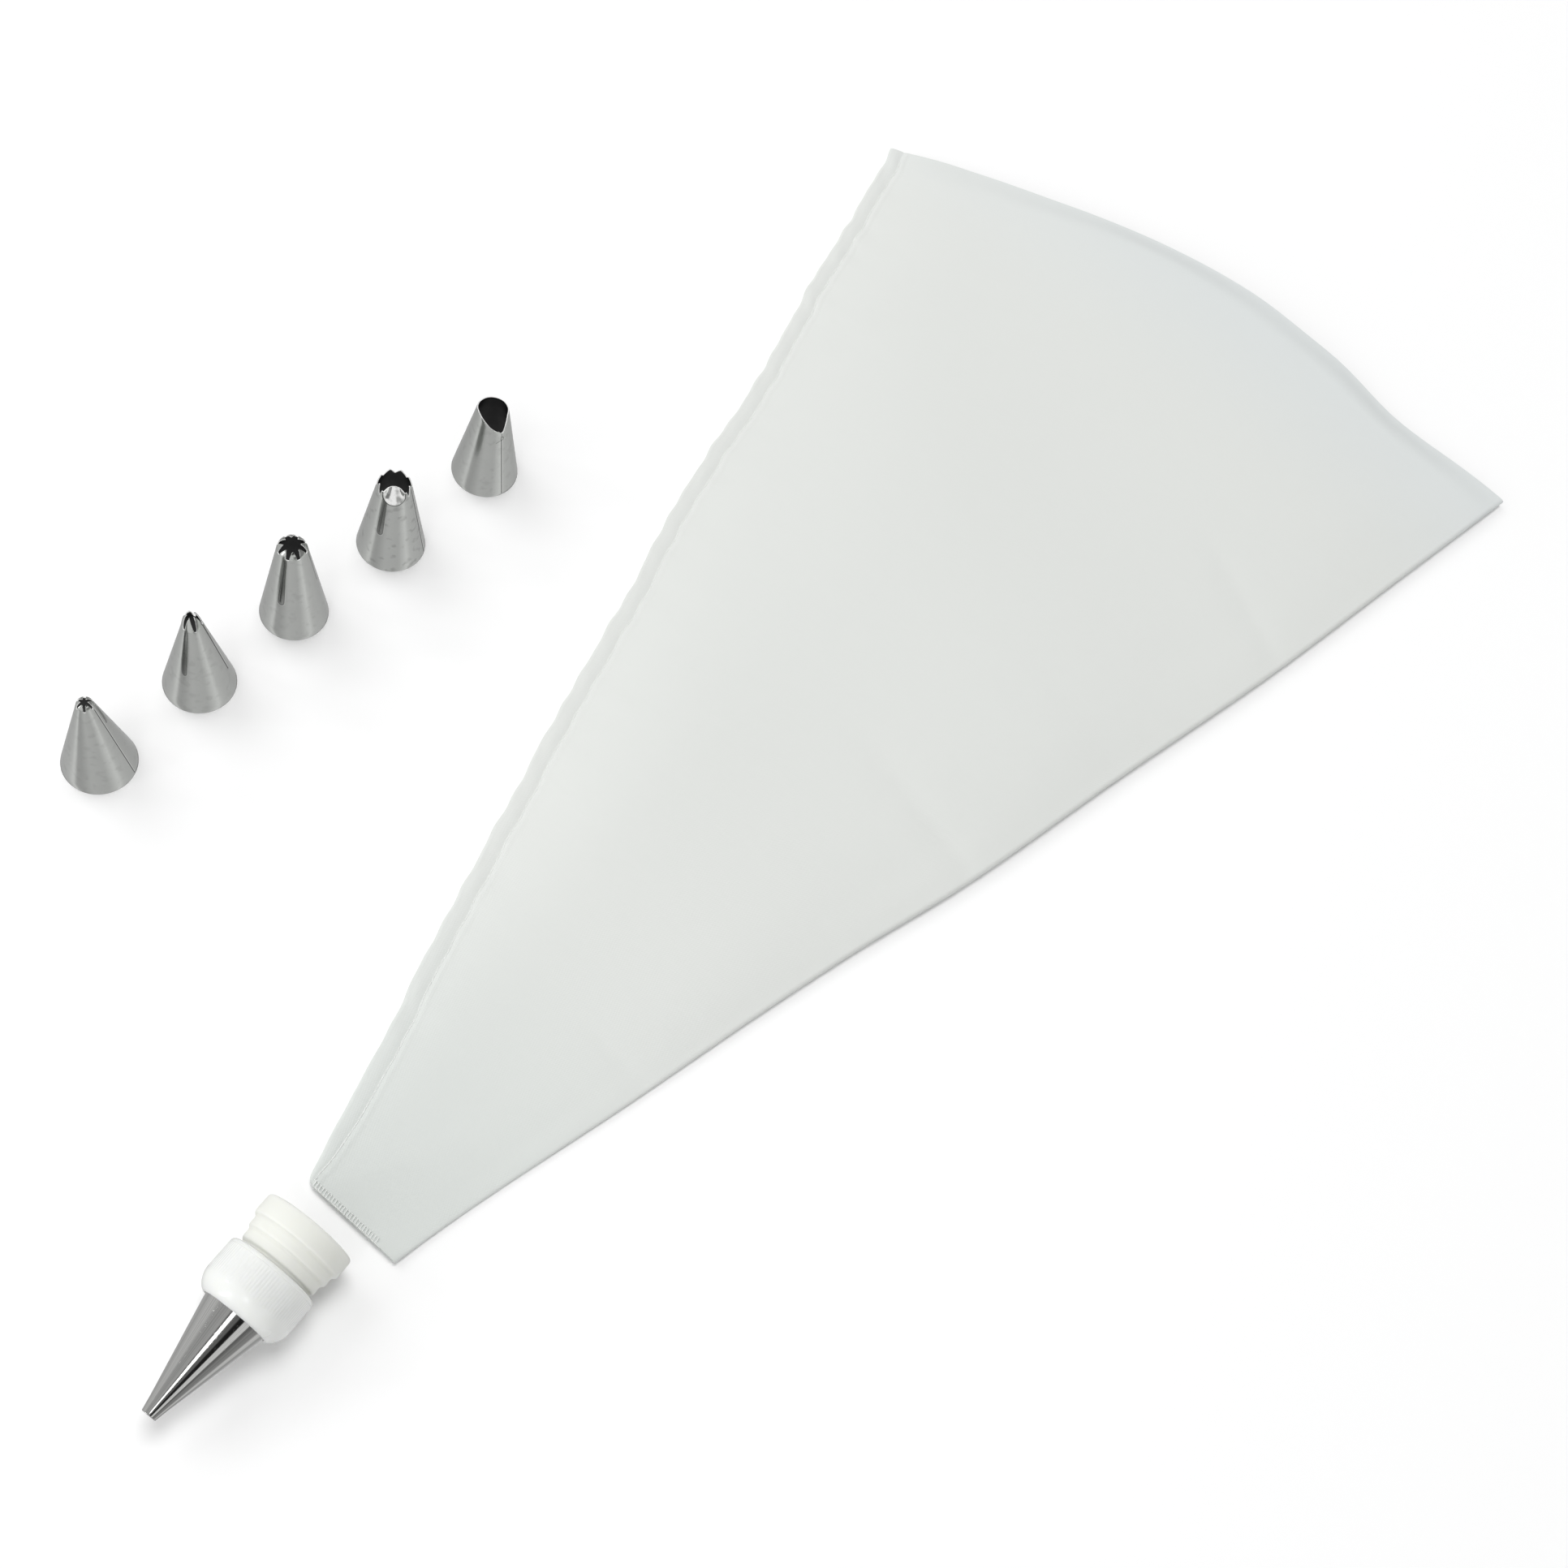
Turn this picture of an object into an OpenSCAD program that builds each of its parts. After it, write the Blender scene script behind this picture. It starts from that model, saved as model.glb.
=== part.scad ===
// Piping bag lying flat, with a coupler and plain nozzle laid at its tip and a row of
// five spare nozzles standing beside it. Millimetres, +Z up, table at z = 0, the bag's
// centreline along +Y from tip to mouth, origin under the middle of the bag.

/* [Bag] */
// Length from the tip's hem to the furthest point of the mouth
bag_length = 396; // [320:1:460]
// Width across the mouth, from the side seam to the fold
mouth_width = 231; // [180:1:270]
// Width across the open tip
tip_width = 28.4; // [24:0.2:36]
// How far the mouth's seam corner lies short of its furthest point
mouth_drop = 43; // [20:1:60]
// How far the mouth's fold corner lies short of its furthest point
fold_drop = 2.5; // [0:0.5:12]
// Thickness of one layer of coated cloth
cloth = 0.5; // [0.4:0.05:0.8]
// Height of the hollow between the two layers
pocket_height = 8; // [7:0.5:14]
// Width of the side seam's allowance
seam_width = 4.2; // [3:0.1:6]
// Depth of the hem round the tip
hem_depth = 1.4; // [1:0.1:2.5]

/* [Stitching] */
// Length of one stitch of the side seam
stitch_length = 2.2; // [1.5:0.1:2.6]
// Distance from one seam stitch to the next
stitch_pitch = 3; // [2.8:0.1:5]
// Distance from one hem stitch to the next
overlock_pitch = 1.2; // [0.9:0.1:2]
// Width of the sewing thread
thread_width = 0.35; // [0.25:0.05:0.45]

/* [Coupler] */
// Distance from the bag's tip to the coupler's rim
coupler_gap = 9.2; // [3:0.1:30]
// Sideways place of the coupler's rim
coupler_x = -4; // [-20:0.5:20]
// Turn of the coupler away from the bag's centreline, in degrees
coupler_turn = 2.4; // [0:0.1:10]
// Diameter of the base's wide rim
rim_diameter = 23.2; // [23:0.1:28]
// Width of the smooth band at the rim
rim_band = 4.8; // [4:0.1:6]
// Width of each step of the base
step_width = 2.8; // [2.4:0.1:4]
// Thickness of the base's moulded wall
base_wall = 1.3; // [1:0.05:1.5]
// Pitch of the screw thread
thread_pitch = 3; // [2.8:0.1:3.6]
// Height of the thread's ridge
thread_height = 0.7; // [0.6:0.05:0.8]
// Outer diameter of the screw ring
ring_diameter = 22.8; // [22.4:0.1:25]
// Length of the ring's ribbed part
ring_grip = 7.9; // [7.7:0.1:10]
// Length of the ring's domed front
ring_dome = 4.3; // [4:0.1:6]

/* [Nozzles] */
// Diameter across every nozzle's base
nozzle_base = 18; // [17.6:0.1:18.4]
// Thickness of the nozzles' steel
steel = 0.5; // [0.3:0.05:0.6]
// Length of the plain nozzle in the coupler
plain_length = 29.5; // [28:0.5:34]
// Diameter across the plain nozzle's tip
plain_tip = 3.6; // [2.4:0.1:6]
// Height of the closed star nozzle
closed_star_height = 32.6; // [28:0.2:38]
// Height of the open star nozzle
open_star_height = 33.4; // [28:0.2:38]
// Height of the large star nozzle
large_star_height = 33; // [28:0.2:38]
// Height of the shell nozzle
shell_height = 30; // [26:0.2:36]
// Height of the slanted nozzle
slanted_height = 28.8; // [26:0.2:36]
// Sideways places of the standing nozzles, nearest the tip first
row_x = [-121.3, -120.2, -118.2, -115.2, -113.6];
// Distances of the standing nozzles from the tip, along the bag
row_y = [40.4, 71.9, 102.5, 135, 170];

/* [Hidden] */
$fn = 72;
tip_y = -bag_length / 2;
mouth_y = bag_length / 2;
panel_y = tip_y + hem_depth;
mouth_peak = 0.66;              // share of the width at which the mouth reaches furthest
panel_rows = 24;
panel_columns = 16;
fold_power = 24;                // sharpness of the fold's round edge
mouth_curl = 0.3;               // share by which the top layer sinks at the mouth
seam_angle = atan((mouth_width - tip_width) / 2 / bag_length);
thread_lift = 0.2;              // how far stitches stand above the cloth
tip_corner = 0.6;               // how far the tip's seam corner is cut back at each point
fit_gap = 0.3;                  // space between pieces that are pressed or laid together
running_gap = 0.15;             // space between the coupler's sliding surfaces
step_drop = [0.9, 1.6, 2.3];    // how far each step lies below the rim
last_step = 1.2;                // how much of the last step shows behind the ring
neck_slope = 0.4;               // length of the slope from the last step to the thread
seat_wall = 0.1;                // how far the dome reaches behind the nozzle's edge
snout_length = 2.8;             // length of the base's snout inside the nozzle
snout_wall = 1.2;
ridge_inset = 0.8;              // space from either end of a screw thread to its ridge
axis_z = rim_diameter / 2;
base_r = nozzle_base / 2;
taper = (base_r - plain_tip / 2) / plain_length;
ring_start = rim_band + 2 * step_width + last_step;
steps_end = ring_start + neck_slope;
ring_end = ring_start + ring_grip + ring_dome;
nozzle_start = ring_end - ring_dome - seat_wall;
shoulder = nozzle_start - fit_gap;
thread_crest = base_r + 0.5;
thread_root = thread_crest - thread_height;
ring_bore = thread_crest + 0.5;
ring_crest = base_r + 0.2;
thread_turns = (shoulder - steps_end - 2 * ridge_inset) / thread_pitch;
ring_turns = (nozzle_start - ring_start - thread_pitch) / thread_pitch;
bore_r = base_r - steel - snout_length * taper - running_gap - snout_wall;

function half_width(y) = tip_width / 2 + (mouth_width - tip_width) / 2 * (y - tip_y) / bag_length;
function mouth_edge(s) = mouth_y - (s < mouth_peak
  ? mouth_drop * pow((mouth_peak - s) / mouth_peak, 2)
  : fold_drop * pow((s - mouth_peak) / (1 - mouth_peak), 2));
// s runs from 0 at the side seam to 1 at the fold, v from 0 at the hem to 1 at the mouth
function spot_y(v, s) = panel_y + v * (mouth_edge(s) - panel_y);
function spot_x(y, s) = -half_width(y) + seam_width + s * (2 * half_width(y) - seam_width);
function fold_round(s) = sqrt(max(0, 1 - pow(s, fold_power)));
function arch(s) = (s < 0.5 ? 1 - pow(1 - 2 * s, 2) : 1) * fold_round(s);
function rise(v) = sin(90 * min(1, 2 * v)) * (1 - mouth_curl * pow(max(0, (v - 0.85) / 0.15), 2));
function outer_point(v, s) = let (y = spot_y(v, s))
  [spot_x(y, s), y, cloth * (1 + fold_round(s)) + pocket_height * rise(v) * arch(s)];
function inner_point(v, s) = let (y = spot_y(v, s))
  [spot_x(y, s) - 1.2 * cloth * pow(s, 8), y, cloth + pocket_height * rise(v) * arch(s)];

// two grids of points of the same size, joined round their edges into a closed shell
module closed_sheet(top, under, rows, columns) {
  n = columns + 1;
  total = (rows + 1) * n;
  quads = concat(
    [for (i = [0:rows - 1], j = [0:columns - 1]) let (a = i * n + j) [a, a + n, a + n + 1, a + 1]],
    [for (i = [0:rows - 1], j = [0:columns - 1]) let (a = i * n + j + total)
      [a, a + 1, a + n + 1, a + n]],
    [for (i = [0:rows - 1]) let (a = i * n) [a, a + total, a + n + total, a + n]],
    [for (i = [0:rows - 1]) let (a = i * n + columns) [a, a + n, a + n + total, a + total]],
    [for (j = [0:columns - 1]) [j, j + 1, j + 1 + total, j + total]],
    [for (j = [0:columns - 1]) let (a = rows * n + j) [a, a + total, a + 1 + total, a + 1]]);
  triangles = [for (q = quads) each [[q[0], q[1], q[2]], [q[0], q[2], q[3]]]];
  polyhedron(concat(top, under), triangles);
}

module rear_panel() {
  shares = [for (i = [0:16]) i / 16];
  edge = [for (s = shares) let (y = mouth_edge(s)) [spot_x(y, s), y]];
  color([0.86, 0.87, 0.86]) linear_extrude(cloth)
    polygon(concat([[spot_x(panel_y, 1), panel_y], [spot_x(panel_y, 0), panel_y]], edge));
}

module front_panel() {
  shares = [for (j = [0:panel_columns]) sin(90 * j / panel_columns)];
  steps = [for (i = [0:panel_rows]) i / panel_rows];
  color([0.88, 0.89, 0.87]) closed_sheet(
    [for (v = steps, s = shares) outer_point(v, s)],
    [for (v = steps, s = shares) inner_point(v, s)], panel_rows, panel_columns);
}

// flat strip along the left edge, where both layers are sewn together
module side_seam() {
  top_y = mouth_edge(0);
  top_corner = 2;
  color([0.84, 0.86, 0.85]) linear_extrude(2 * cloth) polygon([
    [-half_width(panel_y) + tip_corner, panel_y], [spot_x(panel_y, 0), panel_y],
    [spot_x(top_y, 0), top_y], [-half_width(top_y) + top_corner / 2, top_y],
    [-half_width(top_y - top_corner), top_y - top_corner],
    [-half_width(panel_y + 4 * tip_corner), panel_y + 4 * tip_corner]]);
}

// one row of stitches along the middle of the strip
module side_seam_thread() {
  margin = 4;
  inset = 1.2;
  row = (mouth_edge(0) - panel_y) / cos(seam_angle) - 2 * margin;
  count = floor(row / stitch_pitch);
  color([0.93, 0.94, 0.93])
  translate([-half_width(panel_y) + seam_width - inset, panel_y, 2 * cloth])
    rotate([0, 0, seam_angle]) for (i = [0:count - 1])
      translate([-thread_width / 2, margin + i * stitch_pitch, 0])
        cube([thread_width, stitch_length, thread_lift]);
}

module tip_hem() {
  color([0.87, 0.89, 0.88]) linear_extrude(2 * cloth) polygon([
    [-half_width(panel_y) + tip_corner, panel_y], [-tip_width / 2 + 2 * tip_corner, tip_y],
    [tip_width / 2, tip_y], [half_width(panel_y), panel_y]]);
}

// stitches that wrap over the hem
module tip_hem_thread() {
  margin = 2.4;
  inset = 0.2;
  count = floor((tip_width - 2 * margin) / overlock_pitch);
  color([0.95, 0.95, 0.94]) for (i = [0:count - 1])
    translate([-tip_width / 2 + margin + i * overlock_pitch, tip_y + inset, 2 * cloth])
      cube([thread_width, hem_depth - 2 * inset, thread_lift]);
}

// the coupler lies on its side: local z runs from the rim towards the nozzle's tip
module on_coupler_axis()
  translate([coupler_x, tip_y - coupler_gap, axis_z])
    rotate([0, 0, coupler_turn]) rotate([90, 0, 0]) children();

// a screw thread's ridge, from radius r1 at its foot to r2 at its crest
module ridge(r1, r2, start, turns, foot, crest) {
  per_turn = 30;
  count = floor(turns * per_turn);
  ring = [for (i = [0:count]) let (a = 360 * i / per_turn, z = start + thread_pitch * i / per_turn)
    each [for (p = [[r1, -foot / 2], [r2, -crest / 2], [r2, crest / 2], [r1, foot / 2]])
      [p[0] * cos(a), p[0] * sin(a), z + p[1]]]];
  sides = [for (i = [0:count - 1], k = [0:3]) let (a = 4 * i + k, b = 4 * i + (k + 1) % 4)
    each (r2 > r1 ? [[a, b, b + 4], [a, b + 4, a + 4]] : [[a, b + 4, b], [a, a + 4, b + 4]])];
  last = 4 * count;
  ends = r2 > r1 ? [[3, 2, 1], [3, 1, 0], [last, last + 1, last + 2], [last, last + 2, last + 3]]
    : [[1, 2, 3], [0, 1, 3], [last + 2, last + 1, last], [last + 3, last + 2, last]];
  polyhedron(ring, concat(sides, ends));
}

module coupler_base() {
  rim = rim_diameter / 2;
  rim_chamfer = 0.5;
  snout_end = shoulder + snout_length;
  inside_r = base_r - steel - running_gap;
  color([0.93, 0.93, 0.91]) on_coupler_axis() union() {
    rotate_extrude() polygon([
      [rim - base_wall, 0], [rim - rim_chamfer, 0], [rim, rim_chamfer], [rim, rim_band],
      [rim - step_drop[0], rim_band], [rim - step_drop[0], rim_band + step_width],
      [rim - step_drop[1], rim_band + step_width], [rim - step_drop[1], rim_band + 2 * step_width],
      [rim - step_drop[2], rim_band + 2 * step_width], [rim - step_drop[2], ring_start - fit_gap],
      [thread_root, steps_end], [thread_root, shoulder], [inside_r - fit_gap * taper, shoulder],
      [inside_r - snout_length * taper, snout_end], [bore_r, snout_end],
      [bore_r, steps_end]]);
    ridge(thread_root - 0.1, thread_crest, steps_end + ridge_inset, thread_turns, 1.3, 0.8);
  }
}

module coupler_ring() {
  outer = ring_diameter / 2;
  edge = 0.5;
  grip_step = 0.3;
  grip_end = ring_start + ring_grip;
  front_r = base_r - taper * (ring_end - nozzle_start) + running_gap + 0.1;
  front_r2 = front_r + 0.6;
  seat_r = base_r + running_gap;
  dome = [for (a = [0:15:90]) [front_r2 + (outer - grip_step - front_r2) * cos(a),
    grip_end + ring_dome * sin(a)]];
  color([0.94, 0.95, 0.93]) on_coupler_axis() union() {
    rotate_extrude() polygon(concat(
      [[ring_bore, ring_start], [outer - edge, ring_start], [outer, ring_start + edge],
        [outer, grip_end - grip_step]], dome,
      [[front_r, ring_end], [seat_r + running_gap * taper, nozzle_start], [ring_bore, nozzle_start]]));
    ridge(ring_bore + 0.1, ring_crest, ring_start + ridge_inset + thread_pitch / 2, ring_turns,
      1.2, 0.7);
  }
}

// hollow cone with its base at z = 0; tip_in is how far its last stretch bends inwards
module cone_shell(base_d, top_r, height, bend, tip_r) {
  rotate_extrude() polygon([
    [base_d / 2 - steel, 0], [base_d / 2, 0], [top_r, height - bend], [tip_r, height],
    [max(0.1, tip_r - steel / 2), height - steel], [top_r - steel, height - bend - steel / 2]]);
}

module plain_nozzle() {
  color([0.75, 0.75, 0.75]) on_coupler_axis() translate([0, 0, nozzle_start])
    rotate_extrude() polygon([[base_r - steel, 0], [base_r, 0], [plain_tip / 2, plain_length],
      [plain_tip / 2 - steel, plain_length]]);
}

// V-shaped slots through the top of a nozzle, from low up to its tip
module slots(count, first, width, low, high, reach)
  for (i = [0:count - 1]) rotate([0, 0, first + 360 * i / count])
    rotate([90, 0, 90]) linear_extrude(reach)
      polygon([[0, low], [width / 2, high], [-width / 2, high]]);

module standing(i) translate([row_x[i], tip_y + row_y[i], 0]) children();

module closed_star_nozzle()
  color([0.65, 0.65, 0.64]) standing(0) difference() {
    cone_shell(nozzle_base, 2, closed_star_height, 1.6, 0.7);
    slots(6, -50, 0.7, closed_star_height - 2.6, closed_star_height + 1, 4);
  }

module open_star_nozzle()
  color([0.65, 0.65, 0.64]) standing(1) difference() {
    cone_shell(nozzle_base, 2.2, open_star_height, 1.2, 1.7);
    slots(5, -97, 1.5, open_star_height - 3.6, open_star_height + 0.5, 4);
  }

module large_star_nozzle()
  color([0.65, 0.65, 0.64]) standing(2) difference() {
    cone_shell(nozzle_base - 0.6, 3.7, large_star_height, 1.5, 1.7);
    slots(8, -64, 1.2, large_star_height - 2.4, large_star_height + 0.6, 6);
  }

// seven teeth round the back and one broad lip bent in over the front
module shell_nozzle() {
  lip_turn = -46;               // the side that the lip is on
  lip_lean = 38;                // how far the lip leans inwards
  lip_drop = 3.4;               // depth of the gap that the lip closes
  lip_r = 2.7;
  rim_r = 4.4;
  color([0.65, 0.65, 0.64]) standing(3) union() {
    difference() {
      cone_shell(nozzle_base, rim_r, shell_height, 1.6, rim_r - 0.7);
      rotate([0, 0, lip_turn]) translate([1.5, -3, shell_height - lip_drop]) cube([6, 6, 5]);
      slots(8, lip_turn + 22.5, 1.6, shell_height - 2.6, shell_height + 0.4, 7);
    }
    rotate([0, 0, lip_turn]) intersection() {
      translate([rim_r - 0.45, 0, shell_height - 4]) rotate([0, -lip_lean, 0])
        translate([0, 0, lip_r / 3]) rotate([0, 90, 0])
          cylinder(r = lip_r, h = steel, center = true);
      cylinder(r1 = base_r, r2 = rim_r, h = shell_height - 0.4);
    }
  }
}

// plain cone cut off at a slant, so that its mouth ends in a point over the seam
module slanted_nozzle() {
  top = slanted_height;
  color([0.65, 0.65, 0.64]) standing(4) difference() {
    rotate_extrude() polygon([[base_r - steel, 0], [base_r, 0], [4.1, top], [4.1 - steel, top]]);
    rotate([0, 0, -14]) rotate([90, 0, 90]) linear_extrude(8) polygon([
      [0, top - 4.8], [1.2, top - 3], [2.1, top - 1], [2.4, top + 1], [-4.2, top + 1],
      [-3.9, top - 1], [-2.9, top - 2.6]]);
  }
}

rear_panel();
front_panel();
side_seam();
side_seam_thread();
tip_hem();
tip_hem_thread();
coupler_base();
coupler_ring();
plain_nozzle();
closed_star_nozzle();
open_star_nozzle();
large_star_nozzle();
shell_nozzle();
slanted_nozzle();
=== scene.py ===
import math
import bmesh
import bpy
import numpy as np
from mathutils import Matrix, Vector


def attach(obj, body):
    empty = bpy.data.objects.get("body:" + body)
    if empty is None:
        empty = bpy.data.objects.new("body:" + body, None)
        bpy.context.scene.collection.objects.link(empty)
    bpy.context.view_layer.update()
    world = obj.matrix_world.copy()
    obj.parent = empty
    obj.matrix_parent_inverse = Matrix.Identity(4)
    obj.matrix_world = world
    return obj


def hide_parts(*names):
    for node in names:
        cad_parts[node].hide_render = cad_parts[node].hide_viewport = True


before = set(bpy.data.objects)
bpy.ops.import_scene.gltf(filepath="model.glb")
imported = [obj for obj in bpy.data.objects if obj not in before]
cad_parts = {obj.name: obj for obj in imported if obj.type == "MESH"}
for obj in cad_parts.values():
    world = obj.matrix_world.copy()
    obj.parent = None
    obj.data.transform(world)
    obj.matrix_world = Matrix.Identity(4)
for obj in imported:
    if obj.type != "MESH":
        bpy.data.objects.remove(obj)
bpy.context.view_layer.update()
scene = bpy.context.scene
mm = 0.001


class Wire:  # a node's output that can stand in a sum
    def __init__(self, board, socket):
        self.board, self.socket = board, socket

    def __add__(self, other):
        return self.board.maths("ADD", self, other)

    def __sub__(self, other):
        return self.board.maths("SUBTRACT", self, other)

    def __rsub__(self, other):
        return self.board.maths("SUBTRACT", other, self)

    def __neg__(self):
        return self * -1.0

    def __mul__(self, other):
        return self.board.maths("MULTIPLY", self, other)

    def __truediv__(self, other):
        return self.board.maths("DIVIDE", self, other)

    def __pow__(self, other):
        return self.board.maths("POWER", self, other)

    __radd__ = __add__
    __rmul__ = __mul__


class Board:  # one node tree, for a finish or for geometry
    def __init__(self, tree):
        self.tree = tree
        tree.nodes.clear()

    def node(self, kind, settings=None, sockets=None, output=0):
        made = self.tree.nodes.new(kind)
        for name, value in (settings or {}).items():
            if name == "stops":
                stops = made.color_ramp.elements
                while len(stops) < len(value):
                    stops.new(0.5)
                for stop, (place, level) in zip(stops, value):
                    stop.position, stop.color = place, (level, level, level, 1)
            else:
                setattr(made, name, value)
        for name, value in (sockets or {}).items():
            if isinstance(value, Wire):
                self.tree.links.new(value.socket, made.inputs[name])
            else:
                made.inputs[name].default_value = value
        return Wire(self, made.outputs[output]) if made.outputs else made

    def maths(self, operation, *values):
        return self.node("ShaderNodeMath", {"operation": operation}, dict(enumerate(values)))

    def ramp(self, value, low, high, first=0.0, last=1.0):  # smooth change between two values
        return self.node("ShaderNodeMapRange", {"interpolation_type": "SMOOTHSTEP"},
                         {0: value, 1: low, 2: high, 3: first, 4: last})

    def line(self, value, middle, half):  # a soft line where the value is near the middle
        return self.ramp(self.maths("ABSOLUTE", value - middle), half * 0.45, half, 1.0, 0.0)

    def blend(self, factor, first, second):
        return self.node("ShaderNodeMix", {"data_type": "RGBA"}, {0: factor, 6: first, 7: second}, 2)

    def parts(self, vector):
        made = self.node("ShaderNodeSeparateXYZ", None, {0: vector})
        return [Wire(self, made.socket.node.outputs[k]) for k in range(3)]

    def vector(self, x, y, z):
        return self.node("ShaderNodeCombineXYZ", None, {0: x, 1: y, 2: z})

    def noise(self, place, scale, detail=3.0, roughness=0.5):
        return self.node("ShaderNodeTexNoise", None,
                         {"Vector": place, "Scale": scale, "Detail": detail, "Roughness": roughness})

    def bump(self, height, depth, strength=1.0, under=None):
        sockets = {"Height": height, "Distance": depth, "Strength": strength}
        if under:
            sockets["Normal"] = under
        return self.node("ShaderNodeBump", None, sockets)


def rgb(red, green, blue):  # screen colour, 0 to 255, as the shader wants it
    return tuple(((c / 255 + 0.055) / 1.055) ** 2.4 for c in (red, green, blue)) + (1.0,)


def makeFinish(name, recipe, look):
    material = bpy.data.materials.new(name)
    material.use_nodes = True
    board = Board(material.node_tree)
    surface = board.node("ShaderNodeBsdfPrincipled", None, recipe(board, look))
    board.node("ShaderNodeOutputMaterial", None, {"Surface": surface})
    return material


def objectPlace(board):
    return board.node("ShaderNodeTexCoord", None, None, 3)


def uvPlace(board):
    return board.parts(board.node("ShaderNodeUVMap", {"uv_map": "surface"}))


clothLook = {  # coated cotton, along the bag from tip to mouth
    "middle": rgb(223, 225, 222), "nearTip": rgb(216, 220, 217), "nearMouth": rgb(221, 225, 225),
    "tipFade": (-0.198, -0.09), "mouthFade": (0.13, 0.2),
    "clouded": rgb(212, 216, 212), "woven": rgb(206, 210, 206), "cloudScale": 14.0, "slubScale": 900.0,
    "weavePitch": 0.42 * mm, "weaveDepth": 0.03 * mm, "roughness": 0.57,
}


def clothRecipe(board, look):
    across, along, _ = uvPlace(board)
    waveA = board.maths("SINE", across * (2 * math.pi / look["weavePitch"]))
    waveB = board.maths("SINE", along * (2 * math.pi / look["weavePitch"]))
    weave = waveA * waveB
    place = board.vector(across, along, 0.0)
    cloud = board.noise(place, look["cloudScale"], 3.0, 0.55)
    slub = board.noise(board.vector(across * 0.15, along, 0.0), look["slubScale"], 2.0)
    shade = board.blend(board.ramp(along, *look["tipFade"]), look["nearTip"], look["middle"])
    # bluish painted shade towards the mouth, where the upper layer curls down
    shade = board.blend(board.ramp(along, *look["mouthFade"]), shade, look["nearMouth"])
    shade = board.blend((cloud - 0.5) * 0.12 + 0.06, shade, look["clouded"])
    shade = board.blend((weave * 0.5 + 0.5) * 0.05 + slub * 0.05, shade, look["woven"])
    height = weave * 0.5 + slub * 0.6
    return {"Base Color": shade, "Roughness": cloud * 0.1 + look["roughness"],
            "Specular IOR Level": 0.35, "Sheen Weight": 0.08, "Sheen Roughness": 0.4,
            "Normal": board.bump(height, look["weaveDepth"], 0.6)}


threadLook = {"light": rgb(243, 245, 243), "dark": rgb(214, 218, 214), "twist": 0.28 * mm,
              "fuzzScale": 5200.0, "depth": 0.04 * mm, "roughness": 0.65}


def threadRecipe(board, look):
    place = objectPlace(board)
    x, y, z = board.parts(place)
    twist = board.maths("SINE", (x + y * 1.7 + z * 2.0) * (2 * math.pi / look["twist"]))
    fuzz = board.noise(place, look["fuzzScale"], 2.0)
    shade = board.blend(twist * 0.2 + 0.2, look["light"], look["dark"])
    return {"Base Color": shade, "Roughness": fuzz * 0.2 + look["roughness"], "Sheen Weight": 0.2,
            "Normal": board.bump(twist * 0.5 + fuzz, look["depth"], 0.7)}


basePlasticLook = {
    "colour": rgb(233, 234, 229), "shadowColour": rgb(227, 228, 221), "speckColour": rgb(150, 148, 138),
    "roughness": 0.42, "glow": 0.6, "scatter": (0.0021, 0.0021, 0.0019), "coat": 0.1, "grain": 0.35,
}
ringPlasticLook = dict(basePlasticLook, colour=rgb(237, 239, 236), shadowColour=rgb(233, 235, 231),
                       roughness=0.24, coat=0.6, grain=0.15)


def plasticRecipe(board, look):
    place = objectPlace(board)
    cloud = board.noise(place, 120.0, 2.0)
    specks = board.ramp(board.noise(place, 420.0, 1.0), 0.80, 0.84)
    shade = board.blend(cloud * 0.5, look["colour"], look["shadowColour"])
    shade = board.blend(specks * 0.25, shade, look["speckColour"])
    return {"Base Color": shade, "Roughness": cloud * 0.05 + look["roughness"],
            "Subsurface Weight": look["glow"], "Subsurface Radius": look["scatter"],
            "Subsurface Scale": 1.0, "Coat Weight": look["coat"], "Coat Roughness": 0.08,
            "Normal": board.bump(cloud, 0.03 * mm, look["grain"])}


polishedLook = {  # the painted shade strip's place is in turns from +X
    "bright": rgb(206, 206, 204), "smudged": rgb(186, 187, 185), "lined": rgb(156, 157, 155),
    "dull": rgb(134, 135, 133), "dullFrom": (-0.16, -0.12), "dullTo": (0.055, 0.085),
    "roughness": 0.03, "depth": 0.05 * mm,
}


def polishedRecipe(board, look):
    turn, along, _ = uvPlace(board)
    lines = board.noise(board.vector(turn * 160.0, along * 2.2, 0.0), 1.0, 4.0, 0.6)
    marble = board.noise(board.vector(turn * 9.0, along * 5.0, 3.0), 1.0, 5.0, 0.65)
    smudge = board.ramp(marble, 0.46, 0.62)
    pits = board.noise(board.vector(turn * 55.0, along * 900.0, 7.0), 1.0, 3.0, 0.7)
    pits = board.ramp(pits, 0.54, 0.66)
    shade = board.blend(smudge * 0.25, look["bright"], look["smudged"])
    shade = board.blend(board.ramp(lines, 0.42, 0.66) * 0.4, shade, look["lined"])
    # painted shade: a darker strip down one side, a painted reflection of shadowed floor
    dull = board.ramp(turn + marble * 0.02, *look["dullTo"], 1.0, 0.0) * board.ramp(turn, *look["dullFrom"])
    shade = board.blend(dull * 0.85, shade, look["dull"])
    return {"Base Color": shade, "Metallic": 1.0,
            "Roughness": smudge * 0.035 + lines * 0.05 + pits * 0.1 + look["roughness"],
            "Normal": board.bump(marble * 0.7 + lines * 0.12, look["depth"], 0.35)}


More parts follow.
